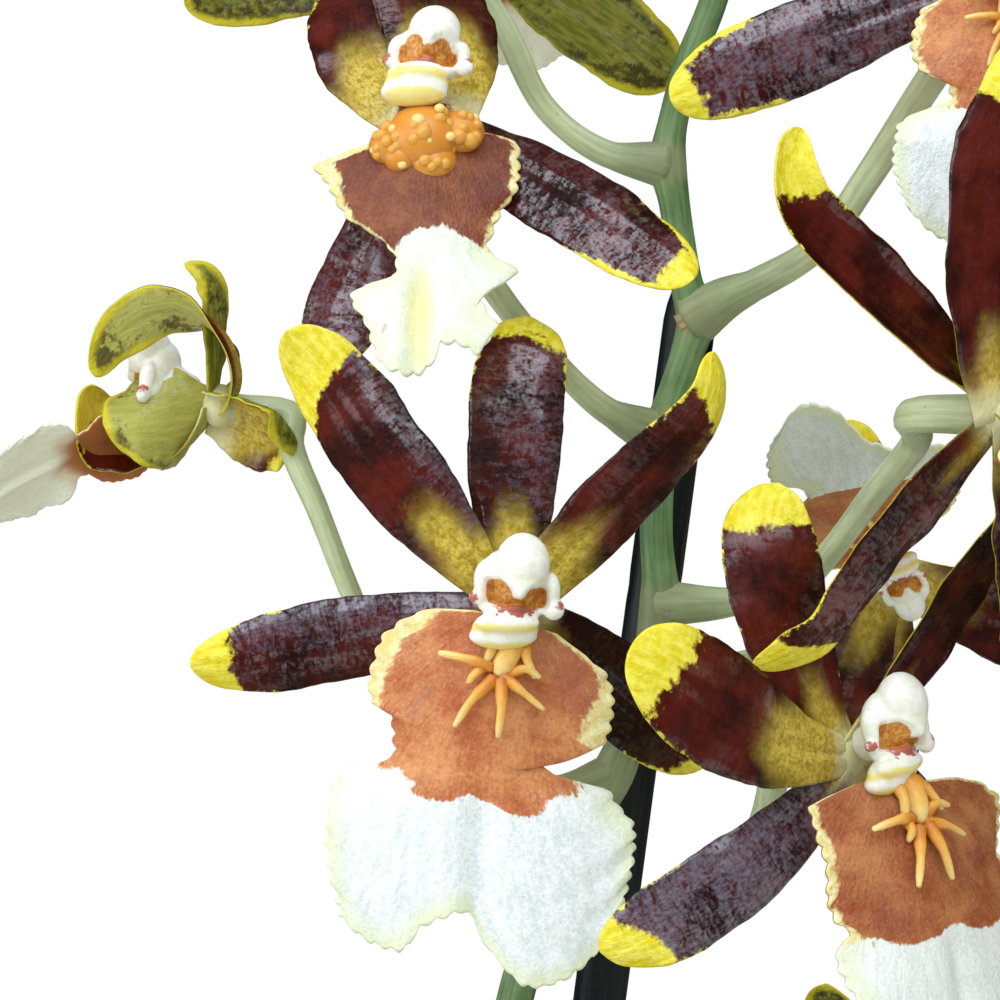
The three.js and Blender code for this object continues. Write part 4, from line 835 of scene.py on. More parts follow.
# A callus: tapering fingers whose points are carried on the lip's own arch, or balls set with smaller balls
def addCallus(skin, bloom, seed):
    shape, scale = bloom["lip"], bloom.get("lipScale", 1)
    chance = np.random.default_rng(seed)
    for number, (*spot, radius) in enumerate(bloom.get("mound", [])):
        centre, side, normal = bladeRun(lipSpec(bloom), np.array([spot[1] / lipRunLength]))
        middle = centre[0] + side[0] * spot[0] * scale + normal[0] * spot[2] * scale
        middle = middle + np.array(bloom["lipAt"])
        facts = {"flat": np.array([0, 0, 5.0 * number]),
                 "paint": np.array([0.85 if radius < 1 else 0.2, 0, 0])}
        skin.ball(middle, np.array([radius, radius, 0.8 * radius]) * scale, 24, 14, facts, 1)
        if radius > 1:
            for _ in range(9):
                turned, out = chance.uniform(0, 2 * pi), chance.uniform(0.2, 0.95)
                flatways = side[0] * out * cos(turned) + np.cross(normal[0], side[0]) * out * sin(turned)
                lump = radius * scale * (flatways + normal[0] * 0.8 * (1 - out**2) ** 0.5)
                size = chance.uniform(0.5, 0.9)
                skin.ball(middle + lump * 0.9, np.full(3, size), 14, 8,
                          dict(facts, paint=np.array([0.36, 0, 0])), 1)
    for number, (finger, radii) in enumerate([] if "mound" in bloom else callusFingers):
        x, along, height = np.array(finger, float).T
        sway = chance.uniform(-0.25, 0.25, len(x)) * (0.5 + along / 8)
        centre, side, normal = bladeRun(lipSpec(bloom), along / lipRunLength)
        half = curveThrough(shape["half"], along)
        drop = (x / half) ** 2 * half * scale * curveThrough(lipArch, along / lipRunLength)
        raised = height * np.array([0.7, 1, 0.8]) * scale + 0.7 * scale - drop
        points = centre + side * ((x + sway) * scale)[:, None] + normal * raised[:, None]
        points = points + np.array(bloom["lipAt"])
        path = smoothPath(points, 14)
        start, end = radii
        profile = np.array([start, 0.8 * start, (start + end) / 2, end, end, 0.92 * end, 0.6 * end]) * scale
        skin.tube(path, profile, 12, 3.1 * number + seed, finish=1)


# Columns

# The blobs of a column, as centre and radii in the flower's own millimetres
columnBlobs = {
    "cap": [((0.7, 4.6, 7.5), (2.7, 3.1, 2.3)), ((0.6, 2.9, 8.5), (1.8, 1.6, 1.1)),
            ((0.5, 2.0, 9.0), (0.9, 1.0, 0.7))],
    "hood": [((-0.2, 3.2, 6.2), (3.5, 3.1, 2.0)), ((0, 0.8, 6.1), (3.8, 1.7, 1.4))],
    "wings": [((-2.8, 2.9, 6.4), (1.3, 2.2, 1.2)), ((-3.6, 1.4, 6.6), (1.0, 0.7, 0.7)),
              ((3.5, 2.0, 6.6), (0.9, 1.8, 0.9)), ((3.7, 0.2, 6.7), (1.1, 1.1, 0.8))],
    "chin": [((-0.8, -1.1, 6.8), (3.2, 1.2, 1.5)), ((-1.2, -2.4, 5.7), (3.4, 1.4, 1.6)),
             ((-1.0, -1.7, 6.0), (3.3, 1.8, 1.5))],
}
# Size of the voxels, rounds of smoothing and depth of the hollow
columnForm = {"voxel": 0.2, "softened": 3, "pressed": 1.3}


# A column: a tube and blobs melted into one skin, then pressed in below the cap by two round lobes and a
# slot. Lobes, slot and marks are bell curves of x and y, kept to the side that faces out.
def makeColumn(name, bloom, place):
    raw = Skin()
    trunk = smoothPath([(0, 1.0, 2.2), (0, 1.5, 4.6), (0, 2.6, 7), (0, 3.6, 8.2)], 16)
    raw.tube(trunk, [1.7, 2.2, 2.6, 2.1], 20)
    for blobs in columnBlobs.values():
        for centre, radii in blobs:
            raw.ball(centre, np.array(radii))
    mesh = bpy.data.meshes.new(name + "_raw")
    mesh.from_pydata(raw.allPoints().tolist(), [], raw.faces)
    rough = shown(name + "_raw", mesh)
    melt = rough.modifiers.new("melt", "REMESH")
    melt.mode, melt.voxel_size = "VOXEL", columnForm["voxel"]
    soften = rough.modifiers.new("soften", "SMOOTH")
    soften.factor, soften.iterations = 0.5, columnForm["softened"]
    melted = workedMesh(rough)
    points = np.zeros(len(melted.vertices) * 3, np.float32)
    melted.vertices.foreach_get("co", points)
    own = points.reshape(-1, 3).astype(float)
    bpy.data.objects.remove(rough)
    x, y, z = own.T
    facing = ease((z - 5.4) / 1.2) * ease((3.9 - y) / 0.8)
    beak = ease((y - 1.3 - 1.05 * np.abs(x - 0.5)) / 0.5 + 0.5)
    lobes = np.exp(-((x + 1.6) / 1.35) ** 4 - ((y - 2.0) / 1.3) ** 4)
    lobes = lobes + np.exp(-((x - 2.0) / 1.1) ** 4 - ((y - 1.3) / 1.1) ** 4)
    slot = np.exp(-((x - 0.1) / 2.0) ** 4 - ((y - 0.95) / 0.4) ** 2)
    hollow = np.minimum(lobes + slot, 1) * facing * (1 - beak)
    spikes = 0.45 * wander(x / 10, 6.0, 3)
    marks = np.exp(-((x - 0.1) / 2.3) ** 4) * ease((y + 0.5 + spikes) / 0.4) * ease((0.9 - y) / 0.3)
    marks = marks + np.exp(-((x + 4.1) / 0.6) ** 2 - ((y - 1.4) / 0.7) ** 2)
    marks = marks + np.exp(-((x - 4.4) / 0.6) ** 2 - ((y - 0.6) / 0.6) ** 2)
    chin = np.exp(-((y + 1.6) / 0.5) ** 2) + ease((-2.7 - y) / 0.5)
    z = z - columnForm["pressed"] * hollow
    moved = np.stack([x, y, z], -1) * bloom.get("columnScale", 1)
    melted.vertices.foreach_set("co", (place(moved) * mm).astype(np.float32).ravel())
    melted.polygons.foreach_set("use_smooth", np.ones(len(melted.polygons), bool))
    keepFacts(melted, {"flat": own, "paint": np.stack([hollow, marks * facing, chin], -1)})
    melted.materials.clear()
    melted.materials.append(columnSkin)
    melted.update()
    thing = shown(name, melted)
    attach(thing, "root")
    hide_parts(name)


# Flowers

# Tepals in degrees, millimetres and shares of the length, as in the solids. Tip, slant, rim and foot place
# the colours; tone darkens a tepal as painted shade when below zero and lightens it as painted light when
# above; the sheen amount and its change across the tepal grey it with painted sheen, a blue-grey that
# stands for the sky's reflection; and faces -1 turns the coloured side round.
dorsal = dict(turn=90, length=31, width=10, lift=8, bend=-8, curl=-30, cup=-20, widest=0.62)
rightPetal = dict(turn=45, length=30, width=9.6, lift=14, bend=-4, curl=20, sway=-6, cup=22, claw=0.4,
                  blunt=3)
leftPetal = dict(rightPetal, turn=135, sway=6)
rightSepal = dict(turn=-28, length=31, width=9.4, lift=-8, bend=-6, sway=-6, cup=-22)
leftSepal = dict(rightSepal, turn=208, sway=6)
usualTepals = [dorsal, rightPetal, leftPetal, leftSepal, rightSepal]

blooms = [
    dict(name="bloom_1", at=[1.5, -28, 419.2], face=[0, 0, 0], tepals=[
        dict(dorsal, turn=93, length=32, width=9.8, lift=5, bend=-25, curl=-40, sway=-11, hook=-6, twist=-5,
             cup=-20, claw=0.55, widest=0.59, blunt=3.5, tip=4.2, foot=5.5, tone=-0.05, paintedSheen=0.45,
             paintedSheenSide=-0.25),
        dict(rightPetal, turn=47, length=33.7, width=7.4, lift=10.6, bend=17.6, curl=-29.8, sway=-2.7,
             hook=49.3, twist=40.2, cup=-24, claw=0.67, widest=0.43, blunt=2.45, tip=5.4, slant=-2.6, foot=8,
             paintedSheen=0),
        dict(leftPetal, turn=136, length=36.6, width=10.1, lift=8.5, bend=-34, curl=35, sway=-15.7, hook=9.2,
             twist=-24.3, cup=-30, claw=0.36, widest=0.54, blunt=3.8, tip=6.8, slant=2.2, foot=9, paintedSheen=0,
             paintedSheenSide=-0.9),
        dict(leftSepal, turn=191, length=33, width=8.8, lift=-4, bend=10, curl=-6, sway=0, hook=-8, twist=-14,
             cup=-30, claw=0.46, widest=0.56, blunt=2.6, tip=4.6, foot=2, paintedSheen=0.5, paintedSheenSide=-0.6),
        # this sepal lies in shade: its tone of -0.5 is painted shade
        dict(rightSepal, turn=-38, length=27, width=9.4, lift=-14, widest=0.52, tip=2, foot=1, tone=-0.5)],
        lip=frontLip, lipAt=[0, -1.2, 3], stalk=[[15.8, 0, 407.5], [11, -6, 408], [5, -14, 413]]),
    dict(name="bloom_2", at=[34.7, -30, 404.7], face=[38, 8, 8], tepals=[
        dict(dorsal, turn=124.7, length=29.9, width=9.8, lift=5, bend=-13, curl=5, sway=-55, hook=-24,
             twist=-50, cup=-15, claw=0.41, widest=0.61, blunt=3.4, tip=4.6, foot=5),
        dict(rightPetal, turn=40.5, length=38, width=7, lift=14.8, bend=11.6, curl=19.5, sway=16, hook=13,
             twist=34, cup=14, claw=0.54, widest=0.63, blunt=3.2, tip=7.4, foot=6),
        dict(leftPetal, turn=169, length=34.7, width=11.5, lift=15.5, bend=-10.6, curl=-17.7, sway=-35.8,
             hook=11, twist=-6, cup=-13.5, claw=0.35, widest=0.65, blunt=2.8, tip=5.4, slant=-1.5, foot=12),
        dict(leftSepal, turn=211, length=34.2, width=8.3, lift=6.7, bend=-48, curl=-34, sway=-15, hook=17,
             twist=17, cup=-17, claw=0.43, widest=0.58, blunt=3, tip=5, slant=2, foot=2, paintedSheen=0.95),
        dict(rightSepal, turn=-38, length=33)],
        # the lip's tone darkens it as painted shade
        lip=sideLip, lipAt=[0, -2, 4.5], lipLift=20, lipBend=-28, lipPaintedShade=0.35,
        stalk=[[4.5, 0, 381.5], [11, -4, 381.6], [21.5, -10, 387.8], [27, -14, 394]]),
    dict(name="bloom_3", at=[-7.2, -22, 469.2], face=[-2, 38, 0], tepals=[
        dict(dorsal, turn=94, length=30, lift=0, bend=-10, curl=-20),
        dict(rightPetal, turn=74, length=28.1, width=12.5, lift=8, bend=2, curl=-14, sway=59, twist=23.5,
             cup=-10, claw=0.73, widest=0.51, foot=9, tip=2),
        dict(leftPetal, turn=135, length=27.3, width=12.5, lift=3, bend=-4, curl=-12, sway=-55, twist=-16,
             cup=-7, claw=0.69, widest=0.53, blunt=2.9, foot=9, tip=2),
        dict(leftSepal, turn=227.4, length=29.3, width=9.1, lift=-48, bend=36.7, curl=-2.4, sway=30.5,
             hook=-9.9, twist=4.8, cup=-18.6, claw=0.42, widest=0.64, blunt=2.8, tip=0, tone=0.1, paintedSheen=0.7),
        dict(rightSepal, turn=-32, length=33, width=10.4, lift=-4, bend=-6, sway=-8, cup=-20, blunt=3,
             tip=2.6, rim=1.1, foot=2, paintedSheen=0.5)],
        lip=foldedLip, lipScale=1.08, lipWide=0.82, lipAt=[0, -1.5, 3], lipLift=-14, glow=(21.5, 2.0),
        # the lip's tone darkens it as painted shade
        mound=moundBumps, lipPaintedShade=0.8,
        stalk=[[16.9, 0, 437.7], [11, -6, 440.4], [4.3, -11, 446.6], [-1.1, -14, 453.2]]),
    dict(name="bloom_4", at=[-31.4, -8, 440.4], face=[-97, 8, 0], tepals=[
        # the tones of this flower's tepals lighten them as painted light
        dict(dorsal, turn=28.2, length=28.8, width=6.9, lift=-58.4, bend=263.5, curl=-19.9, sway=118.6,
             hook=-34, twist=50.3, cup=-1.2, claw=0.54, widest=0.5, blunt=2.1, faces=-1, tone=0.6),
        dict(rightPetal, turn=63.8, length=17.6, width=4.4, lift=-8.3, bend=26, curl=72.6, sway=16.2,
             hook=2.6, twist=-40.9, cup=15, claw=0.56, widest=0.43, blunt=2.2),
        dict(leftPetal, turn=-29, length=12.3, width=12.4, lift=45, bend=19.5, curl=-2, sway=2.5, hook=-40,
             twist=85, cup=43, claw=0.35, widest=0.42, blunt=2.3, tone=0.4),
        dict(leftSepal, turn=-102.7, length=21.4, width=11.6, lift=6.2, bend=173.3, curl=17, sway=-45.8,
             hook=59.6, twist=-6.4, cup=16, claw=0.47, widest=0.75, blunt=2.95, tone=0.4),
        dict(rightSepal, turn=-39.5, length=12.9, width=11.2, lift=-71.4, bend=-2, curl=93.8, sway=11.5,
             hook=-69, twist=12.3, cup=60, claw=0.62, widest=0.53, blunt=1.9)],
        lip=plainLip, lipScale=0.65, lipWide=0.6, lipAt=[-1.2, -3.9, 6], lipTurn=-36, lipLift=60, lipBend=-42,
        lipTwist=-14, stalkWide=0.8,
        stalk=[[12.6, 0, 399.3], [6.7, -3, 397.8], [-3.3, -6, 399], [-10.8, -10, 408.4], [-16.1, -12, 420.3],
               [-19.5, -12, 428.9], [-22.5, -10.5, 436]]),
    dict(name="bloom_5", at=[50.5, -27, 483], face=[0, 5, 0], tepals=[
        dict(dorsal, turn=88, length=32.5, width=10.2), dict(rightPetal, turn=43, length=27.5),
        dict(leftPetal, turn=141, length=31.5, width=11, curl=10, widest=0.68),
        dict(leftSepal, turn=197, length=35.5, lift=-4, twist=-10, widest=0.62, blunt=3, tip=3.6, rim=1.1,
             foot=2, paintedSheen=0.8),
        dict(rightSepal, turn=-22, length=33, lift=-6)],
        lip=plainLip, lipScale=0.78, lipAt=[0, -2.5, 3], glow=(22, 4.5), bract=(9.5, 2.4), stalkWide=1.15,
        stalk=[[22, 0, 450.5], [25.1, -2, 452.5], [28.6, -5, 454], [34.3, -11, 457.4], [38.9, -14, 464],
               [44.5, -16, 473]]),
    dict(name="bloom_6", at=[47.6, -40, 438.2], face=[55, 0, 0], tepals=[
        dict(dorsal, turn=111, length=37.9, width=14.6, lift=3, bend=24, curl=-37, sway=-31, hook=26,
             twist=-45, cup=-32, claw=0.6, widest=0.48, blunt=3.4, tip=10, foot=4.5),
        dict(rightPetal, turn=40, length=26),
        dict(leftPetal, turn=128, length=35.6, width=7.6, lift=-34, bend=13, curl=32, sway=5, hook=-65,
             twist=-36, cup=50, claw=0.5, widest=0.48, blunt=2.5, tip=7, foot=2),
        dict(leftSepal, turn=233, length=34.5, width=7.8, lift=-29, bend=-1, curl=-41, sway=22, hook=-23,
             twist=0, cup=-8, claw=0.42, widest=0.46, blunt=1.9, tip=6, slant=2.4, foot=4),
        dict(rightSepal, turn=-53, length=30, lift=-6)],
        lip=plainLip, lipAt=[0, -1.5, 3], lipLift=50, lipBend=-16,
        stalk=[[18, 0, 418.3], [25.4, -2, 418.5], [32.3, -6, 420.2], [35.8, -10, 424.5], [39.3, -16, 430.5],
               [42, -26, 436]]),
    dict(name="bloom_7", at=[48.1, 24, 421.1], face=[8, -8, 207], tepals=[
        dict(dorsal, turn=65, length=31, width=9.8, lift=0, bend=-6, curl=0),
        dict(rightPetal, turn=44, length=28.5, lift=0, curl=0, claw=0.5),
        dict(leftPetal, turn=129, length=32.5, width=10.8, lift=4, curl=0, claw=0.5),
        dict(leftSepal, turn=252, length=20, width=8.4, lift=-20),
        dict(rightSepal, turn=-92, length=20, width=8.4, lift=-30)],
        lip=backLip, lipScale=0.92, lipWide=1.04, lipAt=[1.6, -3.5, 3], lipTurn=-95, lipLift=40, lipBend=18,
        lipTwist=-34, columnScale=0.7,
        stalk=[[17.7, 0, 414.2], [24, 4, 411.5], [33, 18, 412], [42, 30, 416.5]]),
    dict(name="bloom_8", at=[-2.9, 4, 494.4], face=[172, 34, 4], tepals=[
        dict(dorsal, turn=90, length=29.5, lift=4, curl=-20),
        dict(rightPetal, turn=16, length=30.5, width=10.5, lift=8, bend=-6, curl=0, sway=0),
        dict(leftPetal, turn=149, length=27.5, width=10.5, lift=8, bend=-6, curl=0, sway=0),
        dict(leftSepal, turn=211, length=28.5, width=11, lift=-6, sway=0, widest=0.6, blunt=2.8),
        dict(rightSepal, turn=-12, length=34.5, width=9.4, lift=-6, sway=0, blunt=2.8)],
        lip=plainLip, lipScale=0.7, lipAt=[0, -1.5, 3], lipLift=35,
        stalk=[[18.5, 0, 467.8], [11.3, -1, 469.2], [5, -2, 474], [0.6, -4, 482]]),
    dict(name="bloom_9", at=[4, -22, 531], face=[-24, 12, 0],
        tepals=usualTepals, lip=plainLip, lipScale=0.9, lipAt=[0, -1.5, 3],
        stalk=[[27, 0, 497], [20, -3, 500], [12, -8, 512]]),
    dict(name="bloom_10", at=[-30, 24, 334], face=[-158, 6, 0],
        tepals=usualTepals, lip=plainLip, lipScale=0.95, lipAt=[0, -1.5, 3],
        stalk=[[-9.6, 0, 300], [-14, 4, 304], [-22, 10, 314]]),
    dict(name="bloom_11", at=[42, 26, 340], face=[148, 6, 0],
        tepals=usualTepals, lip=plainLip, lipScale=0.95, lipAt=[0, -1.5, 3],
        stalk=[[-3.4, 0, 345], [6, -4, 338], [22, 2, 332]]),
]

heart = {"at": (0, 0, -0.9), "radii": (2.4, 2.4, 1.9)}  # the ball that joins the tepals behind the column


# A flower: tepals round a heart, the lip with its callus, and the column, all in the flower's own frame
def makeBloom(bloom, number):
    place = bloomPlace(bloom["at"], bloom["face"])
    petals = Skin()
    for k, spec in enumerate(bloom["tepals"]):
        addTepal(petals, spec, 10 * number + k + 1)
    golden = {"paint": np.array([-20.0, 5.0, -5.0]), "side": np.array([1.0, 0.0, 0.0])}
    petals.ball(heart["at"], np.array(heart["radii"]), facts=golden)
    petals.piece(bloom["name"] + "_tepals", [tepalSkin], bloom["name"] + "_tepals", place)
    lip = Skin()
    addLip(lip, bloom, 40 + number)
    addCallus(lip, bloom, 70 + number)
    lip.piece(bloom["name"] + "_lip", [lipSkin, callusSkin], bloom["name"] + "_lip", place)
    makeColumn(bloom["name"] + "_column", bloom, place)


for number, bloom in enumerate(blooms):
    makeBloom(bloom, number)
print("flowers made:", len(blooms))


# Spike: stem, stalks, bracts and buds

# The stem with its joints, and the stalks: a stalk's last points lie stalkEnd behind its flower's face
stem = {
    "path": [[-31, -4, 92], [-30, -3, 125], [-26, -1, 170], [-20, 0, 230], [-11, 0, 290], [-4, 0, 340],
             [1.4, 0, 372.5], [3.4, 0, 379.3], [7.9, 0, 389.4], [12.4, 0, 398.4], [15.1, 0, 405.2],
             [17.5, 0, 413], [18.1, 0, 418.7], [17.6, 0, 426.8], [18.3, 0, 436.8], [19.4, 0, 441.3],
             [21.2, 0, 446.9], [22.1, 0, 450.3], [21.1, 0, 454.2], [19.6, 0, 463.8], [18.9, 0, 468.3],
             [19.8, 0, 474], [21.4, 0, 479.6], [23.9, 0, 485.8], [26.5, 0, 495.4], [30, 1, 512], [33, 2, 530],
             [35, 3, 548], [35.5, 4, 562]],
    "radii": [3.1, 2.9, 2.7, 2.5, 2.3, 2.0, 1.8, 1.5, 1.0],
    "joint": 0.45,
    "jointReach": 3.0,
    "stalkRadius": 1.35,
    "stalkProfile": [2.0, 1.15, 1, 1.0, 1.05, 1.1, 1.3, 1.5],
    "stalkEnd": (9, 3.2, 1.2),
}
buds = [
    {"at": [34, 2, 528], "turn": -20, "lift": 35, "length": 17},
    {"at": [35, 3, 541], "turn": 165, "lift": 40, "length": 15},
    {"at": [35.4, 3.6, 552], "turn": 10, "lift": 55, "length": 12.5},
    {"at": [35.5, 4, 560], "turn": 120, "lift": 75, "length": 10},
]


# A papery bract: a pointed scoop that hugs the root of a stalk. Its width falls with the share along it.
def addBract(skin, at, towards, seed, length=9.5, radius=2.6):
    away = Vector(towards) - Vector(at)
    away.normalize()
    out = np.array(away)
    side = np.cross(out, (0, 0, 1))
    side /= np.linalg.norm(side)
    down = np.cross(out, side)
    down = down if down[2] < 0 else -down
    u = np.linspace(0, 1, 16)[:, None]
    v = np.linspace(-1, 1, 13)[None]
    reach = 1.9 * (1 - u**1.6) * v
    lean = radius * (1 - 0.25 * u) + 0.35 * wander(u, 1.5, seed) * u
    points = (np.array(at) - 1.2 * out + out * (u * length)[..., None]
              + side * (lean * np.sin(reach))[..., None]
              + down * (lean * np.cos(reach))[..., None])
    outward = side * np.sin(reach)[..., None] + down * np.cos(reach)[..., None]
    facts = {"flat": np.stack([reach * radius, u * length + 0 * v, seed + 0 * reach], -1)}
    skin.sheet(points + 0.15 * outward, points - 0.15 * outward, facts, facts, finish=1)


# A stalk from the stem to the back of its flower, flushed and less pale near its root, with a bract
def addStalk(skin, bloom, number):
    rows, sides = 70, 14
    place = bloomPlace(bloom["at"], bloom["face"])
    behind = [place(np.array([0, 0, -depth])) for depth in stem["stalkEnd"]]
    path = smoothPath([*bloom["stalk"], *behind], rows)
    size = stem["stalkRadius"] * max(bloom.get("columnScale", 1), 0.85) * bloom.get("stalkWide", 1)
    root = np.concatenate([np.ones(3), np.exp(-(np.linspace(0, 1, rows) / 0.16) ** 2), np.zeros(3)])
    pale = (1 - 0.7 * root)[:, None] + np.zeros((1, sides))
    share = np.linspace(0, 1, rows + 6)[:, None]
    look = np.stack(np.broadcast_arrays(share, 0.8 * root[:, None], pale), -1)
    skin.tube(path, np.array(stem["stalkProfile"]) * size, sides, 5.0 * number, paint=look, ridges=0.02)
    addBract(skin, bloom["stalk"][0], bloom["stalk"][1], 9.0 * number, *bloom.get("bract", (4.6, 1.7)))


# A bud on a short stalk, with a bract. The radii of its swelling are shares of its length.
def addBud(skin, bud, number):
    turn, lift, length = radians(bud["turn"]), radians(bud["lift"]), bud["length"]
    ahead = np.array([cos(lift) * cos(turn), cos(lift) * sin(turn), sin(lift)])
    path = np.array(bud["at"]) + ahead * (np.linspace(0, 1.44 * length, 50))[:, None]
    swell = [0.2 * length, 0.265 * length, 0.275 * length, 0.22 * length, 0.13 * length]
    skin.tube(path, [0.9, 0.85, 0.85, 0.95, *swell, 0.35], 20, 11.0 * number, finish=2, ridges=0.05)
    addBract(skin, bud["at"], np.array(bud["at"]) + ahead, 7.0 * number, 6, 1.6)


# The stem swells by a small bell curve at each joint and is flushed there
spike = Skin()
stemPoints = smoothPath(stem["path"], 420)
jointHeights = [bloom["stalk"][0][2] for bloom in blooms]
share = np.linspace(0, 1, len(stemPoints))
nearJoint = sum(np.exp(-((stemPoints[:, 2] - z) / stem["jointReach"]) ** 2) for z in jointHeights)
stemRadii = np.interp(share, np.linspace(0, 1, len(stem["radii"])), stem["radii"]) + stem["joint"] * nearJoint
flush = np.concatenate([[0] * 3, np.clip(nearJoint, 0, 1), [0] * 3])
look = np.stack(np.broadcast_arrays(np.linspace(0, 1, len(flush))[:, None], flush[:, None],
                                    np.zeros((1, 20))), -1)
spike.tube(stemPoints, stemRadii, 20, 1.0, paint=look, ridges=0.012)
for number, bloom in enumerate(blooms):
    addStalk(spike, bloom, number)
for number, bud in enumerate(buds):
    addBud(spike, bud, number)
spike.piece("spike", [stemSkin, paperSkin, budSkin], "spike")
print("spike made")


# Leaves and pseudobulbs

rowAngle = -20
bulbs = [
    {"name": "bulb_1", "foot": [-1, 11, 94], "width": 40, "thick": 20, "height": 84, "old": 0.0},
    {"name": "bulb_2", "foot": [21, 3, 94], "width": 38, "thick": 19, "height": 76, "old": 0.1},
    {"name": "bulb_3", "foot": [41, -4, 95], "width": 33, "thick": 16, "height": 60, "old": 0.25},
    {"name": "bulb_4", "foot": [-43, 14, 95], "width": 28, "thick": 13, "height": 46, "old": 0.7},
]
leaves = [
    dict(name="leaf_1", bulb=0, side=-1, turn=-66, lift=82, bend=-78, length=255, width=31),
    dict(name="leaf_2", bulb=0, side=1, turn=102, lift=84, bend=-96, length=262, width=32),
    dict(name="leaf_3", bulb=1, side=-1, turn=-36, lift=80, bend=-90, length=236, width=30),
    dict(name="leaf_4", bulb=1, side=1, turn=66, lift=78, bend=-80, length=244, width=30),
    dict(name="leaf_5", bulb=2, side=1, turn=12, lift=70, bend=-84, length=210, width=27),
    dict(name="leaf_6", bulb=0, side=-1, basal=True, turn=-142, lift=76, bend=-88, length=232, width=27),
    dict(name="leaf_7", bulb=0, side=1, basal=True, turn=148, lift=78, bend=-84, length=248, width=28),
    dict(name="leaf_8", bulb=1, side=-1, basal=True, turn=-48, lift=74, bend=-92, length=206, width=26),
    dict(name="leaf_9", bulb=1, side=1, basal=True, turn=38, lift=78, bend=-86, length=238, width=27),
    dict(name="leaf_10", bulb=2, side=-1, basal=True, turn=-14, lift=66, bend=-96, length=176, width=24),
]
leafGrid = {"rows": 120, "columns": 25, "thickness": 1.3, "foldFoot": 0.55, "foldFar": 0.16, "wave": 1.1,
            "rib": 0.7}
bulbProfile = [[0, 0.35], [0.02, 0.66], [0.1, 0.86], [0.28, 1], [0.46, 0.96], [0.68, 0.8], [0.88, 0.5],
               [0.97, 0.3], [1, 0.16]]
# Dry sheaths on a bulb: the shares of its height where each starts and ends, and its share of the way round
sheaths = [(0.05, 0.42, 0.55), (0.03, 0.26, 0.9)]


# A strap leaf: a V across that opens along the run, with a slow wave in its edges and a tapering tip
def makeLeaf(spec, seed):
    bulb = bulbs[spec["bulb"]]
    basal = spec.get("basal", False)
    reach = spec["side"] * (bulb["width"] * 0.37 + 9.3 if basal else 3.9)
    across = radians(rowAngle + 90)
    up = 8 if basal else bulb["height"] + 1.4
    start = np.array(bulb["foot"]) + np.array([reach * cos(across), reach * sin(across), up])
    u = np.linspace(-0.03, 1, leafGrid["rows"])
    v = np.linspace(-1, 1, leafGrid["columns"])[None]
    centre, side, normal = bladeRun(spec, u)
    u = u[:, None]
    share = np.clip(u, 0, 1)
    half = spec["width"] / 2 * np.maximum(np.minimum(np.minimum(0.3 + 2.1 * share, 1),
                                                     np.sqrt(np.clip(1 - share, 0, 1) * 3.4)), 0.05)
    keel = leafGrid["foldFoot"] + (leafGrid["foldFar"] - leafGrid["foldFoot"]) * ease(share / 0.4)
    fold = np.sqrt(v**2 + 0.012) - 0.11
    wave = leafGrid["wave"] * wander(u + 0.25 * np.sign(v), 2.4, seed) * np.abs(v) ** 2
    wave = wave * ease(share / 0.4) * ease((1 - share) / 0.2)
    x = v * half * np.cos(keel)
    z = fold * half * np.sin(keel) + wave
    points = centre[:, None] + start + side[:, None] * x[..., None] + normal[:, None] * z[..., None]
    thick = (leafGrid["thickness"] / 2 * (1 - 0.6 * v**2) * (1 - 0.3 * share))[..., None]
    rib = (leafGrid["rib"] * np.exp(-(v / 0.09) ** 2) * (1 - share))[..., None]
    away = normal[:, None] + 0 * points
    flat = np.stack([x, u * spec["length"] + 0 * v, 13.0 * seed + 0 * x], -1)
    facts = [{"flat": flat, "paint": np.stack([share + 0 * v, np.abs(v) + 0 * u, way + 0 * x], -1)}
             for way in (1, -1)]
    skin = Skin()
    skin.sheet(points + away * thick, points - away * (thick + rib), *facts)
    skin.piece(spec["name"], [leafSkin], spec["name"])


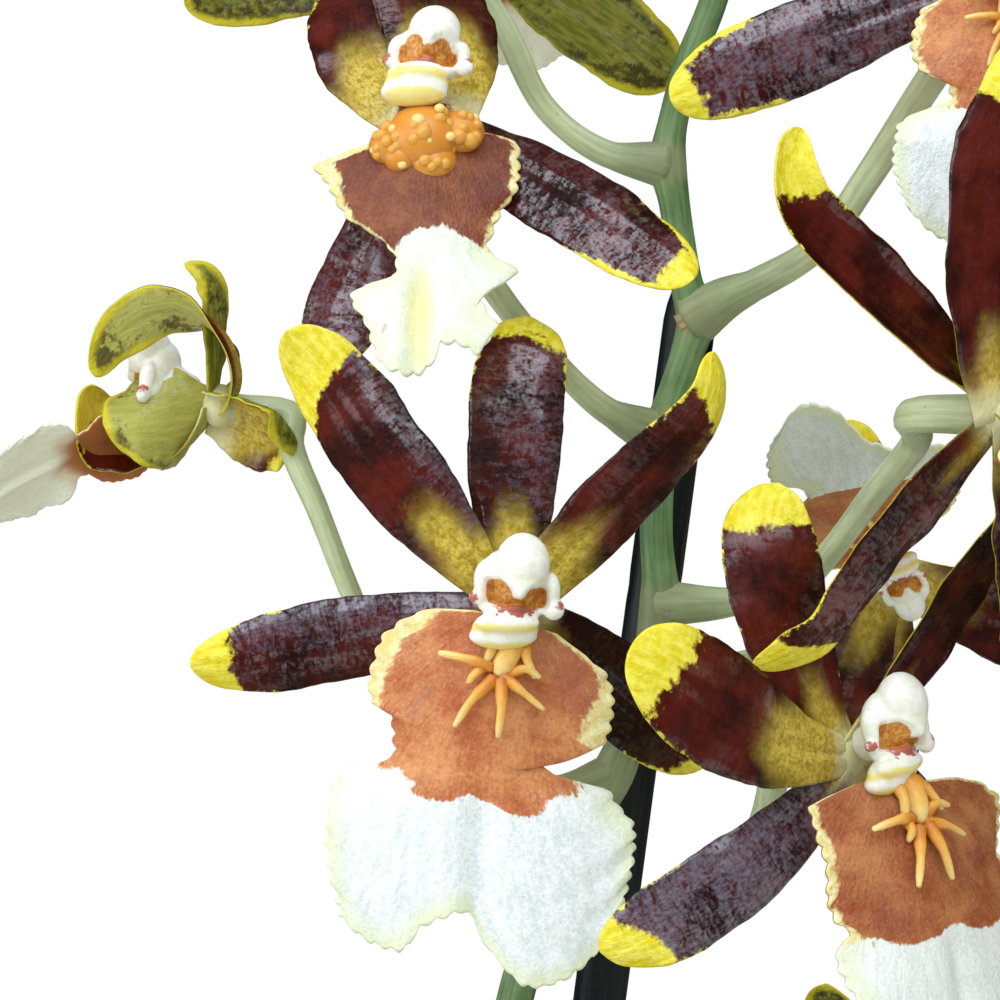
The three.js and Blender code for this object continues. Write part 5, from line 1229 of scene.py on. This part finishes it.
# A pseudobulb: flattened rings on a smooth egg profile, with shallow ridges that fade towards the ends, and
# sheaths that stand off a little more towards their torn upper edge
def makeBulb(bulb, seed):
    h = np.linspace(0, 1, 70)[:, None]
    a = np.linspace(0, 2 * pi, 72, endpoint=False)[None]
    ridge = 0.5 + 0.5 * np.cos(9 * a + 0.6 * wander(h, 1.0, seed))
    grooves = (0.03 + 0.05 * bulb["old"]) * ease(h / 0.2) * ease((1 - h) / 0.3)
    r = curveThrough(bulbProfile, h) * (1 - grooves * (1 - ridge)) * (1 + 0.012 * wander(h, 2, seed + 1))
    x, y = r * bulb["thick"] / 2 * np.cos(a), r * bulb["width"] / 2 * np.sin(a)
    c, s = cos(radians(rowAngle)), sin(radians(rowAngle))
    fx, fy, fz = bulb["foot"]
    grid = np.stack([fx + c * x - s * y, fy + s * x + c * y, fz + h * bulb["height"] + 0 * x], -1)
    flat = np.stack([a * bulb["width"] / 3 + 0 * h, h * bulb["height"] + 0 * a, 19.0 * seed + 0 * x], -1)
    paint = np.stack([h + 0 * a, ridge + 0 * h, bulb["old"] + 0 * x], -1)
    skin = Skin()
    skin.rings(grid, {"flat": flat, "paint": paint})
    for layer, (low, high, share) in enumerate(sheaths):
        b = np.linspace(-pi * share, pi * share, 61)[None] + (0.5 + layer * 2.4) * pi
        torn = high * (0.8 + 0.2 * wander((b - b.min()) / 6, 3, seed + 4 + layer))
        up = np.linspace(0, 1, 22)[:, None]
        g = low + (torn - low) * up
        lift = 0.5 + 0.45 * layer + 0.8 * up ** 3
        x = (curveThrough(bulbProfile, g) * bulb["thick"] / 2 + lift) * np.cos(b)
        y = (curveThrough(bulbProfile, g) * bulb["width"] / 2 + lift) * np.sin(b)
        sheet = np.stack([fx + c * x - s * y, fy + s * x + c * y, fz + g * bulb["height"] + 0 * x], -1)
        out = np.stack([c * np.cos(b) - s * np.sin(b) + 0 * g, s * np.cos(b) + c * np.sin(b) + 0 * g,
                        0 * x], -1)
        flat = np.stack([b * bulb["width"] / 3 + 0 * g, g * bulb["height"] + 0 * b, 23.0 * seed + 0 * x], -1)
        facts = {"flat": flat}
        skin.sheet(sheet + 0.12 * out, sheet - 0.12 * out, facts, facts, finish=1)
    skin.piece(bulb["name"], [bulbSkin, paperSkin], bulb["name"])


for number, spec in enumerate(leaves):
    makeLeaf(spec, number + 1)
for number, bulb in enumerate(bulbs):
    makeBulb(bulb, number + 1)
print("leaves and bulbs made")


# Roots, bark and pot

rootPaths = [
    [[-2, -24, 103], [-14, -30, 106], [-26, -30, 105.5], [-38, -26, 104]],
    [[-2, -24, 103], [4, -34, 106], [2, -42, 105.5], [-8, -48, 103]],
    [[-2, -24, 103], [10, -30, 106], [24, -34, 105.5], [36, -36, 103]],
]
roots = Skin()
for number, points in enumerate(rootPaths):
    path = smoothPath(points, 90)
    radii = np.interp(np.linspace(0, 1, 90), [0, 0.33, 0.66, 1], [2.4, 2.1, 1.8, 1.2])
    radii = radii * (1 + 0.07 * wander(np.linspace(0, 1, 90), 4, number))
    roots.tube(path, radii, 18, 6.0 * number)
roots.ball((-2, -24, 102.5), np.array((6, 4.5, 3.6)), 28, 18)
roots.piece("roots", [rootSkin], "roots")

pot = {"height": 120, "foot": 48, "shoulder": 64, "rim": 71, "rimHeight": 25, "wall": 5, "floor": 6,
       "sides": 144, "hole": 5, "holeCircle": 26}
# Clear holds the spots that chips keep away from, each x, y and radius: where the stem and the rhizome go in
bark = {"top": 103, "gap": 0.4, "chips": 230, "long": (9, 17), "wide": (6, 11), "high": (2.5, 5.5),
        "tries": 2000, "shake": 0.35, "tilt": 0.45, "clear": [(-31, -2, 6.5), (-2, -24, 6)]}


# The radius inside the pot's wall at a height
def innerRadius(z):
    return np.interp(z, [pot["floor"], pot["height"]], [pot["foot"], pot["shoulder"]]) - pot["wall"]


# The points of a box with two faces along each edge, and the faces as point numbers
def chipBox():
    steps = np.array([-1.0, 0.0, 1.0])
    lattice = np.stack(np.meshgrid(steps, steps, steps, indexing="ij"), -1).reshape(-1, 3)
    outer = lattice[np.abs(lattice).max(1) > 0.5]
    number = {tuple(p): i for i, p in enumerate(outer)}
    quads = []
    for axis in range(3):
        for side in (-1.0, 1.0):
            for a in (-1.0, 0.0):
                for b in (-1.0, 0.0):
                    corners = []
                    for da, db in ((0, 0), (1, 0), (1, 1), (0, 1)):
                        p = [0.0, 0.0, 0.0]
                        p[axis], p[(axis + 1) % 3], p[(axis + 2) % 3] = side, a + da, b + db
                        corners.append(number[tuple(p)])
                    quads.append(corners if side > 0 else corners[::-1])
    return outer, np.array(quads)


# Chips: boxes with their corners pulled in and their points shaken, laid at random on the bark and kept clear
# of the bulbs, the stem and the rhizome
def addChips(skin):
    outer, quads = chipBox()
    rounded = outer * (1 - 0.12 * (np.abs(outer).sum(1, keepdims=True) - 1))
    c, s = cos(radians(rowAngle)), sin(radians(rowAngle))
    placed = 0
    for _ in range(bark["tries"]):
        if placed == bark["chips"]:
            break
        radius = (innerRadius(bark["top"]) - 8) * dice.uniform(0, 1) ** 0.5
        angle = dice.uniform(0, 2 * pi)
        x, y = radius * cos(angle), radius * sin(angle)
        blocked = any(hypot(x - spotX, y - spotY) < reach for spotX, spotY, reach in bark["clear"])
        for bulb in bulbs:
            dx, dy = x - bulb["foot"][0], y - bulb["foot"][1]
            own = ((c * dx + s * dy) / (bulb["thick"] / 2 + 3), (c * dy - s * dx) / (bulb["width"] / 2 + 3))
            blocked = blocked or hypot(*own) < 1
        if blocked:
            continue
        size = np.array([dice.uniform(*bark[key]) for key in ("long", "wide", "high")]) / 2
        shape = rounded * size + dice.normal(0, bark["shake"], rounded.shape)
        shape = shape + np.outer(np.sin(rounded[:, 0] * 1.5), [0, 0, dice.uniform(-0.8, 0.8)])
        tilt = bark["tilt"]
        rx, ry, rz = dice.uniform(-tilt, tilt), dice.uniform(-tilt, tilt), dice.uniform(0, pi)
        turnX = np.array([[1, 0, 0], [0, cos(rx), -sin(rx)], [0, sin(rx), cos(rx)]])
        turnY = np.array([[cos(ry), 0, sin(ry)], [0, 1, 0], [-sin(ry), 0, cos(ry)]])
        turnZ = np.array([[cos(rz), -sin(rz), 0], [sin(rz), cos(rz), 0], [0, 0, 1]])
        level = bark["top"] - 2.5 + (placed / bark["chips"]) * 4.5
        points = shape @ (turnZ @ turnY @ turnX).T + [x, y, level]
        out = np.hypot(points[:, 0], points[:, 1])
        most = innerRadius(points[:, 2]) - 0.6
        points[:, :2] *= np.minimum(1, most / np.maximum(out, 1))[:, None]
        facts = {"flat": shape + placed * 7.7, "paint": np.tile([dice.uniform(0, 1), 0, 0], (len(points), 1))}
        skin.add(points, [quads], facts)
        placed += 1


filling = Skin()
low = pot["floor"] + bark["gap"]
rings = np.array([[0.2, low], [innerRadius(low) - 0.4, low], [innerRadius(60) - 0.4, 60],
                  [innerRadius(98) - 0.4, 98], [innerRadius(100) - 3, 100.5], [30, 101], [0.2, 101]])
a = np.linspace(0, 2 * pi, 72, endpoint=False)[None]
grid = np.stack([rings[:, :1] * np.cos(a), rings[:, :1] * np.sin(a), rings[:, 1:] + 0 * a], -1)
filling.rings(grid, {"flat": grid, "paint": np.array([0.1, 0, 0])})
addChips(filling)
filled = filling.piece("bark", [barkSkin], "bark")
filled.data.polygons.foreach_set("use_smooth", np.zeros(len(filled.data.polygons), bool))


# The pot: rings on its wall profile, softened at every corner, with four holes cut through the floor
def makePot():
    rimFoot = pot["height"] - pot["rimHeight"]
    inner = pot["shoulder"] - pot["wall"]
    corners = [(0.3, 0.6), (pot["foot"] - 4, 0.6), (pot["foot"] - 3.2, 0), (pot["foot"] - 0.9, 0),
               (pot["foot"], 1.2), (pot["shoulder"], rimFoot - 2), (pot["shoulder"] + 0.8, rimFoot - 0.8),
               (pot["rim"] - 1.6, rimFoot), (pot["rim"] - 0.3, rimFoot + 0.8), (pot["rim"], rimFoot + 2.4),
               (pot["rim"], pot["height"] - 2.4), (pot["rim"] - 0.7, pot["height"] - 0.7),
               (pot["rim"] - 2.4, pot["height"]), (inner + 2.6, pot["height"]),
               (inner + 0.7, pot["height"] - 0.7), (inner, pot["height"] - 2.6),
               (pot["foot"] - pot["wall"] + 0.6, pot["floor"] + 1.6),
               (pot["foot"] - pot["wall"] - 1.6, pot["floor"]), (0.3, pot["floor"])]
    line = [corners[0]]
    for (r0, z0), (r1, z1) in zip(corners[:-1], corners[1:]):
        count = max(1, int(hypot(r1 - r0, z1 - z0) / 4))
        line += [(r0 + (r1 - r0) * k / count, z0 + (z1 - z0) * k / count) for k in range(1, count + 1)]
    r, z = np.array(line).T[:, :, None]
    a = np.linspace(0, 2 * pi, pot["sides"], endpoint=False)[None]
    grid = np.stack([r * np.cos(a), r * np.sin(a), z + 0 * a], -1)
    flat = np.stack([a * 60 + 0 * r, z + 0 * a, r + 0 * a], -1)
    height = z / pot["height"] + 0 * a
    skin = Skin()
    skin.rings(grid, {"flat": flat, "paint": np.stack([height, 0 * height, 0 * height], -1)})
    made = skin.piece("pot", [claySkin], "pot")
    tools = Skin()
    for angle in (45, 135, 225, 315):
        x, y = pot["holeCircle"] * cos(radians(angle)), pot["holeCircle"] * sin(radians(angle))
        b = np.linspace(0, 2 * pi, 40, endpoint=False)
        ring = np.stack([x + pot["hole"] * np.cos(b), y + pot["hole"] * np.sin(b), 0 * b], -1)
        tools.rings(np.stack([ring + (0, 0, level) for level in (-5, 3, 12)]), {})
    mesh = bpy.data.meshes.new("drill")
    mesh.from_pydata((tools.allPoints() * mm).tolist(), [], tools.faces)
    drill = shown("drill", mesh)
    cut = made.modifiers.new("holes", "BOOLEAN")
    cut.operation, cut.object, cut.solver = "DIFFERENCE", drill, "EXACT"
    drilled = workedMesh(made)
    made.modifiers.clear()
    made.data = drilled
    bpy.data.objects.remove(drill)


makePot()
print("pot, bark and roots made")


# Stake and clips

stake = {"foot": [-25.7, 7, 92], "top": [22.65, 7, 455.7], "radius": 3.05}
clip = {"height": 6, "wall": 1.3, "clearance": 1.3, "levels": [182, 270]}
stakeFoot, stakeTop = np.array(stake["foot"], float), np.array(stake["top"], float)

cane = Skin()
canePath = stakeFoot + (stakeTop - stakeFoot) * np.linspace(0.004, 0.996, 200)[:, None]
nubs = 1 - 0.045 * (0.5 + 0.5 * np.cos(np.linspace(0, 200, 200) * 2 * pi / 4)) * (np.arange(200) % 20 < 2)
cane.tube(canePath, stake["radius"] * nubs * np.r_[0.8, 0.94, np.ones(196), 0.94, 0.8], 28, 2.0)
cane.piece("stake", [stakeSkin], "stake")


# A clip: a rounded band swept round the stem and the stake. Its outline is two half circles and two
# straights.
def makeClip(name, level):
    stakeAt = stakeFoot + (stakeTop - stakeFoot) * (level - stakeFoot[2]) / (stakeTop[2] - stakeFoot[2])
    stemAt = stemPoints[np.abs(stemPoints[:, 2] - level).argmin()]
    across = hypot(*(stakeAt - stemAt)[:2])
    turn = atan2(*(stakeAt - stemAt)[1::-1])
    radius = stake["radius"] + clip["clearance"] + clip["wall"] / 2
    left = np.linspace(pi / 2, 1.5 * pi, 24)
    right = np.linspace(-pi / 2, pi / 2, 24)
    outline = np.concatenate([np.stack([radius * np.cos(left), radius * np.sin(left)], -1),
                              np.stack([across + radius * np.cos(right), radius * np.sin(right)], -1)])
    outward = np.concatenate([np.stack([np.cos(left), np.sin(left)], -1),
                              np.stack([np.cos(right), np.sin(right)], -1)])
    e = np.linspace(0, 2 * pi, 20, endpoint=False)

    def soft(w):
        return np.sign(w) * np.abs(w) ** 0.35

    offset, rise = soft(np.cos(e)) * clip["wall"] / 2, soft(np.sin(e)) * clip["height"] / 2
    ring = outline[:, None] + outward[:, None] * offset[None, :, None]
    c, s = cos(turn), sin(turn)
    x = stemAt[0] + c * ring[..., 0] - s * ring[..., 1]
    y = stemAt[1] + s * ring[..., 0] + c * ring[..., 1]
    grid = np.stack([x, y, level + rise[None] + 0 * x], -1)
    rows, columns = grid.shape[:2]
    index = np.arange(rows * columns).reshape(rows, columns)
    loop = np.pad(index, ((0, 1), (0, 1)), mode="wrap")
    quads = np.stack([loop[:-1, :-1], loop[:-1, 1:], loop[1:, 1:], loop[1:, :-1]], -1).reshape(-1, 4)
    skin = Skin()
    skin.add(grid, [quads], {"flat": grid.reshape(-1, 3)})
    skin.piece(name, [clipSkin], name)


for number, level in enumerate(clip["levels"]):
    makeClip(f"clip_{number + 1}", level)
print("stake and clips made")


# Floor, lights and camera

ground = {"rings": [0.001, 200, 500, 900.0], "sides": 96, "drop": 0.05}


# A wide round floor, a hair under the pot
def makeFloor():
    r = np.array(ground["rings"])[:, None]
    a = np.linspace(0, 2 * pi, ground["sides"], endpoint=False)[None]
    grid = np.stack([r * np.cos(a), r * np.sin(a), -ground["drop"] + 0 * r * a], -1) * mm
    mesh = bpy.data.meshes.new("floor")
    index = np.arange(r.size * a.size).reshape(r.size, a.size)
    loop = np.concatenate([index, index[:, :1]], 1)
    quads = np.stack([loop[:-1, :-1], loop[1:, :-1], loop[1:, 1:], loop[:-1, 1:]], -1).reshape(-1, 4)
    mesh.from_pydata(grid.reshape(-1, 3).tolist(), [], quads.tolist())
    floor = shown("floor", mesh)
    f = Finish("pale floor")
    where = f.node("TexCoord").outputs["Object"]
    colour = f.blend(f.noise(where, 4), "d9d8d5", "e2e1de")
    mesh.materials.append(f.dress(colour, 0.9))


lights = [  # name, place, aim, size, power in watts, colour, whether it shows in reflections
    ("sky", (-0.1, -0.8, 1.45), (0.02, 0, 0.44), 1.3, 18, (0.84, 0.9, 1.0), True),
    ("front", (0.3, -1.5, 0.6), (0.02, 0, 0.42), 1.0, 3.4, (1.0, 0.97, 0.92), False),
    ("left", (-1.3, -0.5, 0.8), (0.0, 0, 0.42), 1.0, 8.5, (0.95, 0.97, 1.0), True),
    ("back", (0.6, 1.3, 1.1), (0.0, 0, 0.40), 0.9, 10, (1.0, 1.0, 1.0), False),
]
surroundings = {"camera": ((1, 1, 1), 1.0), "glossy": ((0.6, 0.7, 0.9), 0.03),
                "other": ((1.0, 0.98, 0.95), 0.5)}


# Lamps, and surroundings that are white to the eye, soft on matt surfaces and dim in reflections
def makeLights():
    for name, place, aim, size, power, colour, mirrored in lights:
        data = bpy.data.lights.new(name, "AREA")
        data.size, data.energy, data.color = size, power, colour
        lamp = shown(name, data)
        lamp.location = place
        lamp.rotation_euler = (Vector(aim) - Vector(place)).to_track_quat("-Z", "Y").to_euler()
        lamp.visible_glossy = mirrored
    world = bpy.data.worlds.new("studio")
    bpy.context.scene.world = world
    world.use_nodes = True
    nodes, links = world.node_tree.nodes, world.node_tree.links
    nodes.clear()
    glows = {}
    for key, (colour, strength) in surroundings.items():
        glows[key] = nodes.new("ShaderNodeBackground")
        glows[key].inputs["Color"].default_value = (*colour, 1)
        glows[key].inputs["Strength"].default_value = strength
    path, out = nodes.new("ShaderNodeLightPath"), nodes.new("ShaderNodeOutputWorld")
    under = glows["other"]
    for key, ray in (("glossy", "Is Glossy Ray"), ("camera", "Is Camera Ray")):
        mix = nodes.new("ShaderNodeMixShader")
        links.new(path.outputs[ray], mix.inputs[0])
        links.new(under.outputs[0], mix.inputs[1])
        links.new(glows[key].outputs[0], mix.inputs[2])
        under = mix
    links.new(under.outputs[0], out.inputs["Surface"])


view = {"place": (0, -0.248, 0.430), "lens": 79.2, "sensor": 36}


# The camera of the photo, level and straight ahead
def makeCamera():
    data = bpy.data.cameras.new("camera")
    data.lens, data.sensor_width = view["lens"], view["sensor"]
    data.clip_start, data.clip_end = 0.01, 20
    camera = shown("camera", data)
    camera.location = view["place"]
    camera.rotation_euler = (pi / 2, 0, 0)
    bpy.context.scene.camera = camera
    bpy.context.scene.view_settings.view_transform = "Standard"


makeFloor()
makeLights()
makeCamera()
print("floor, lights and camera made")
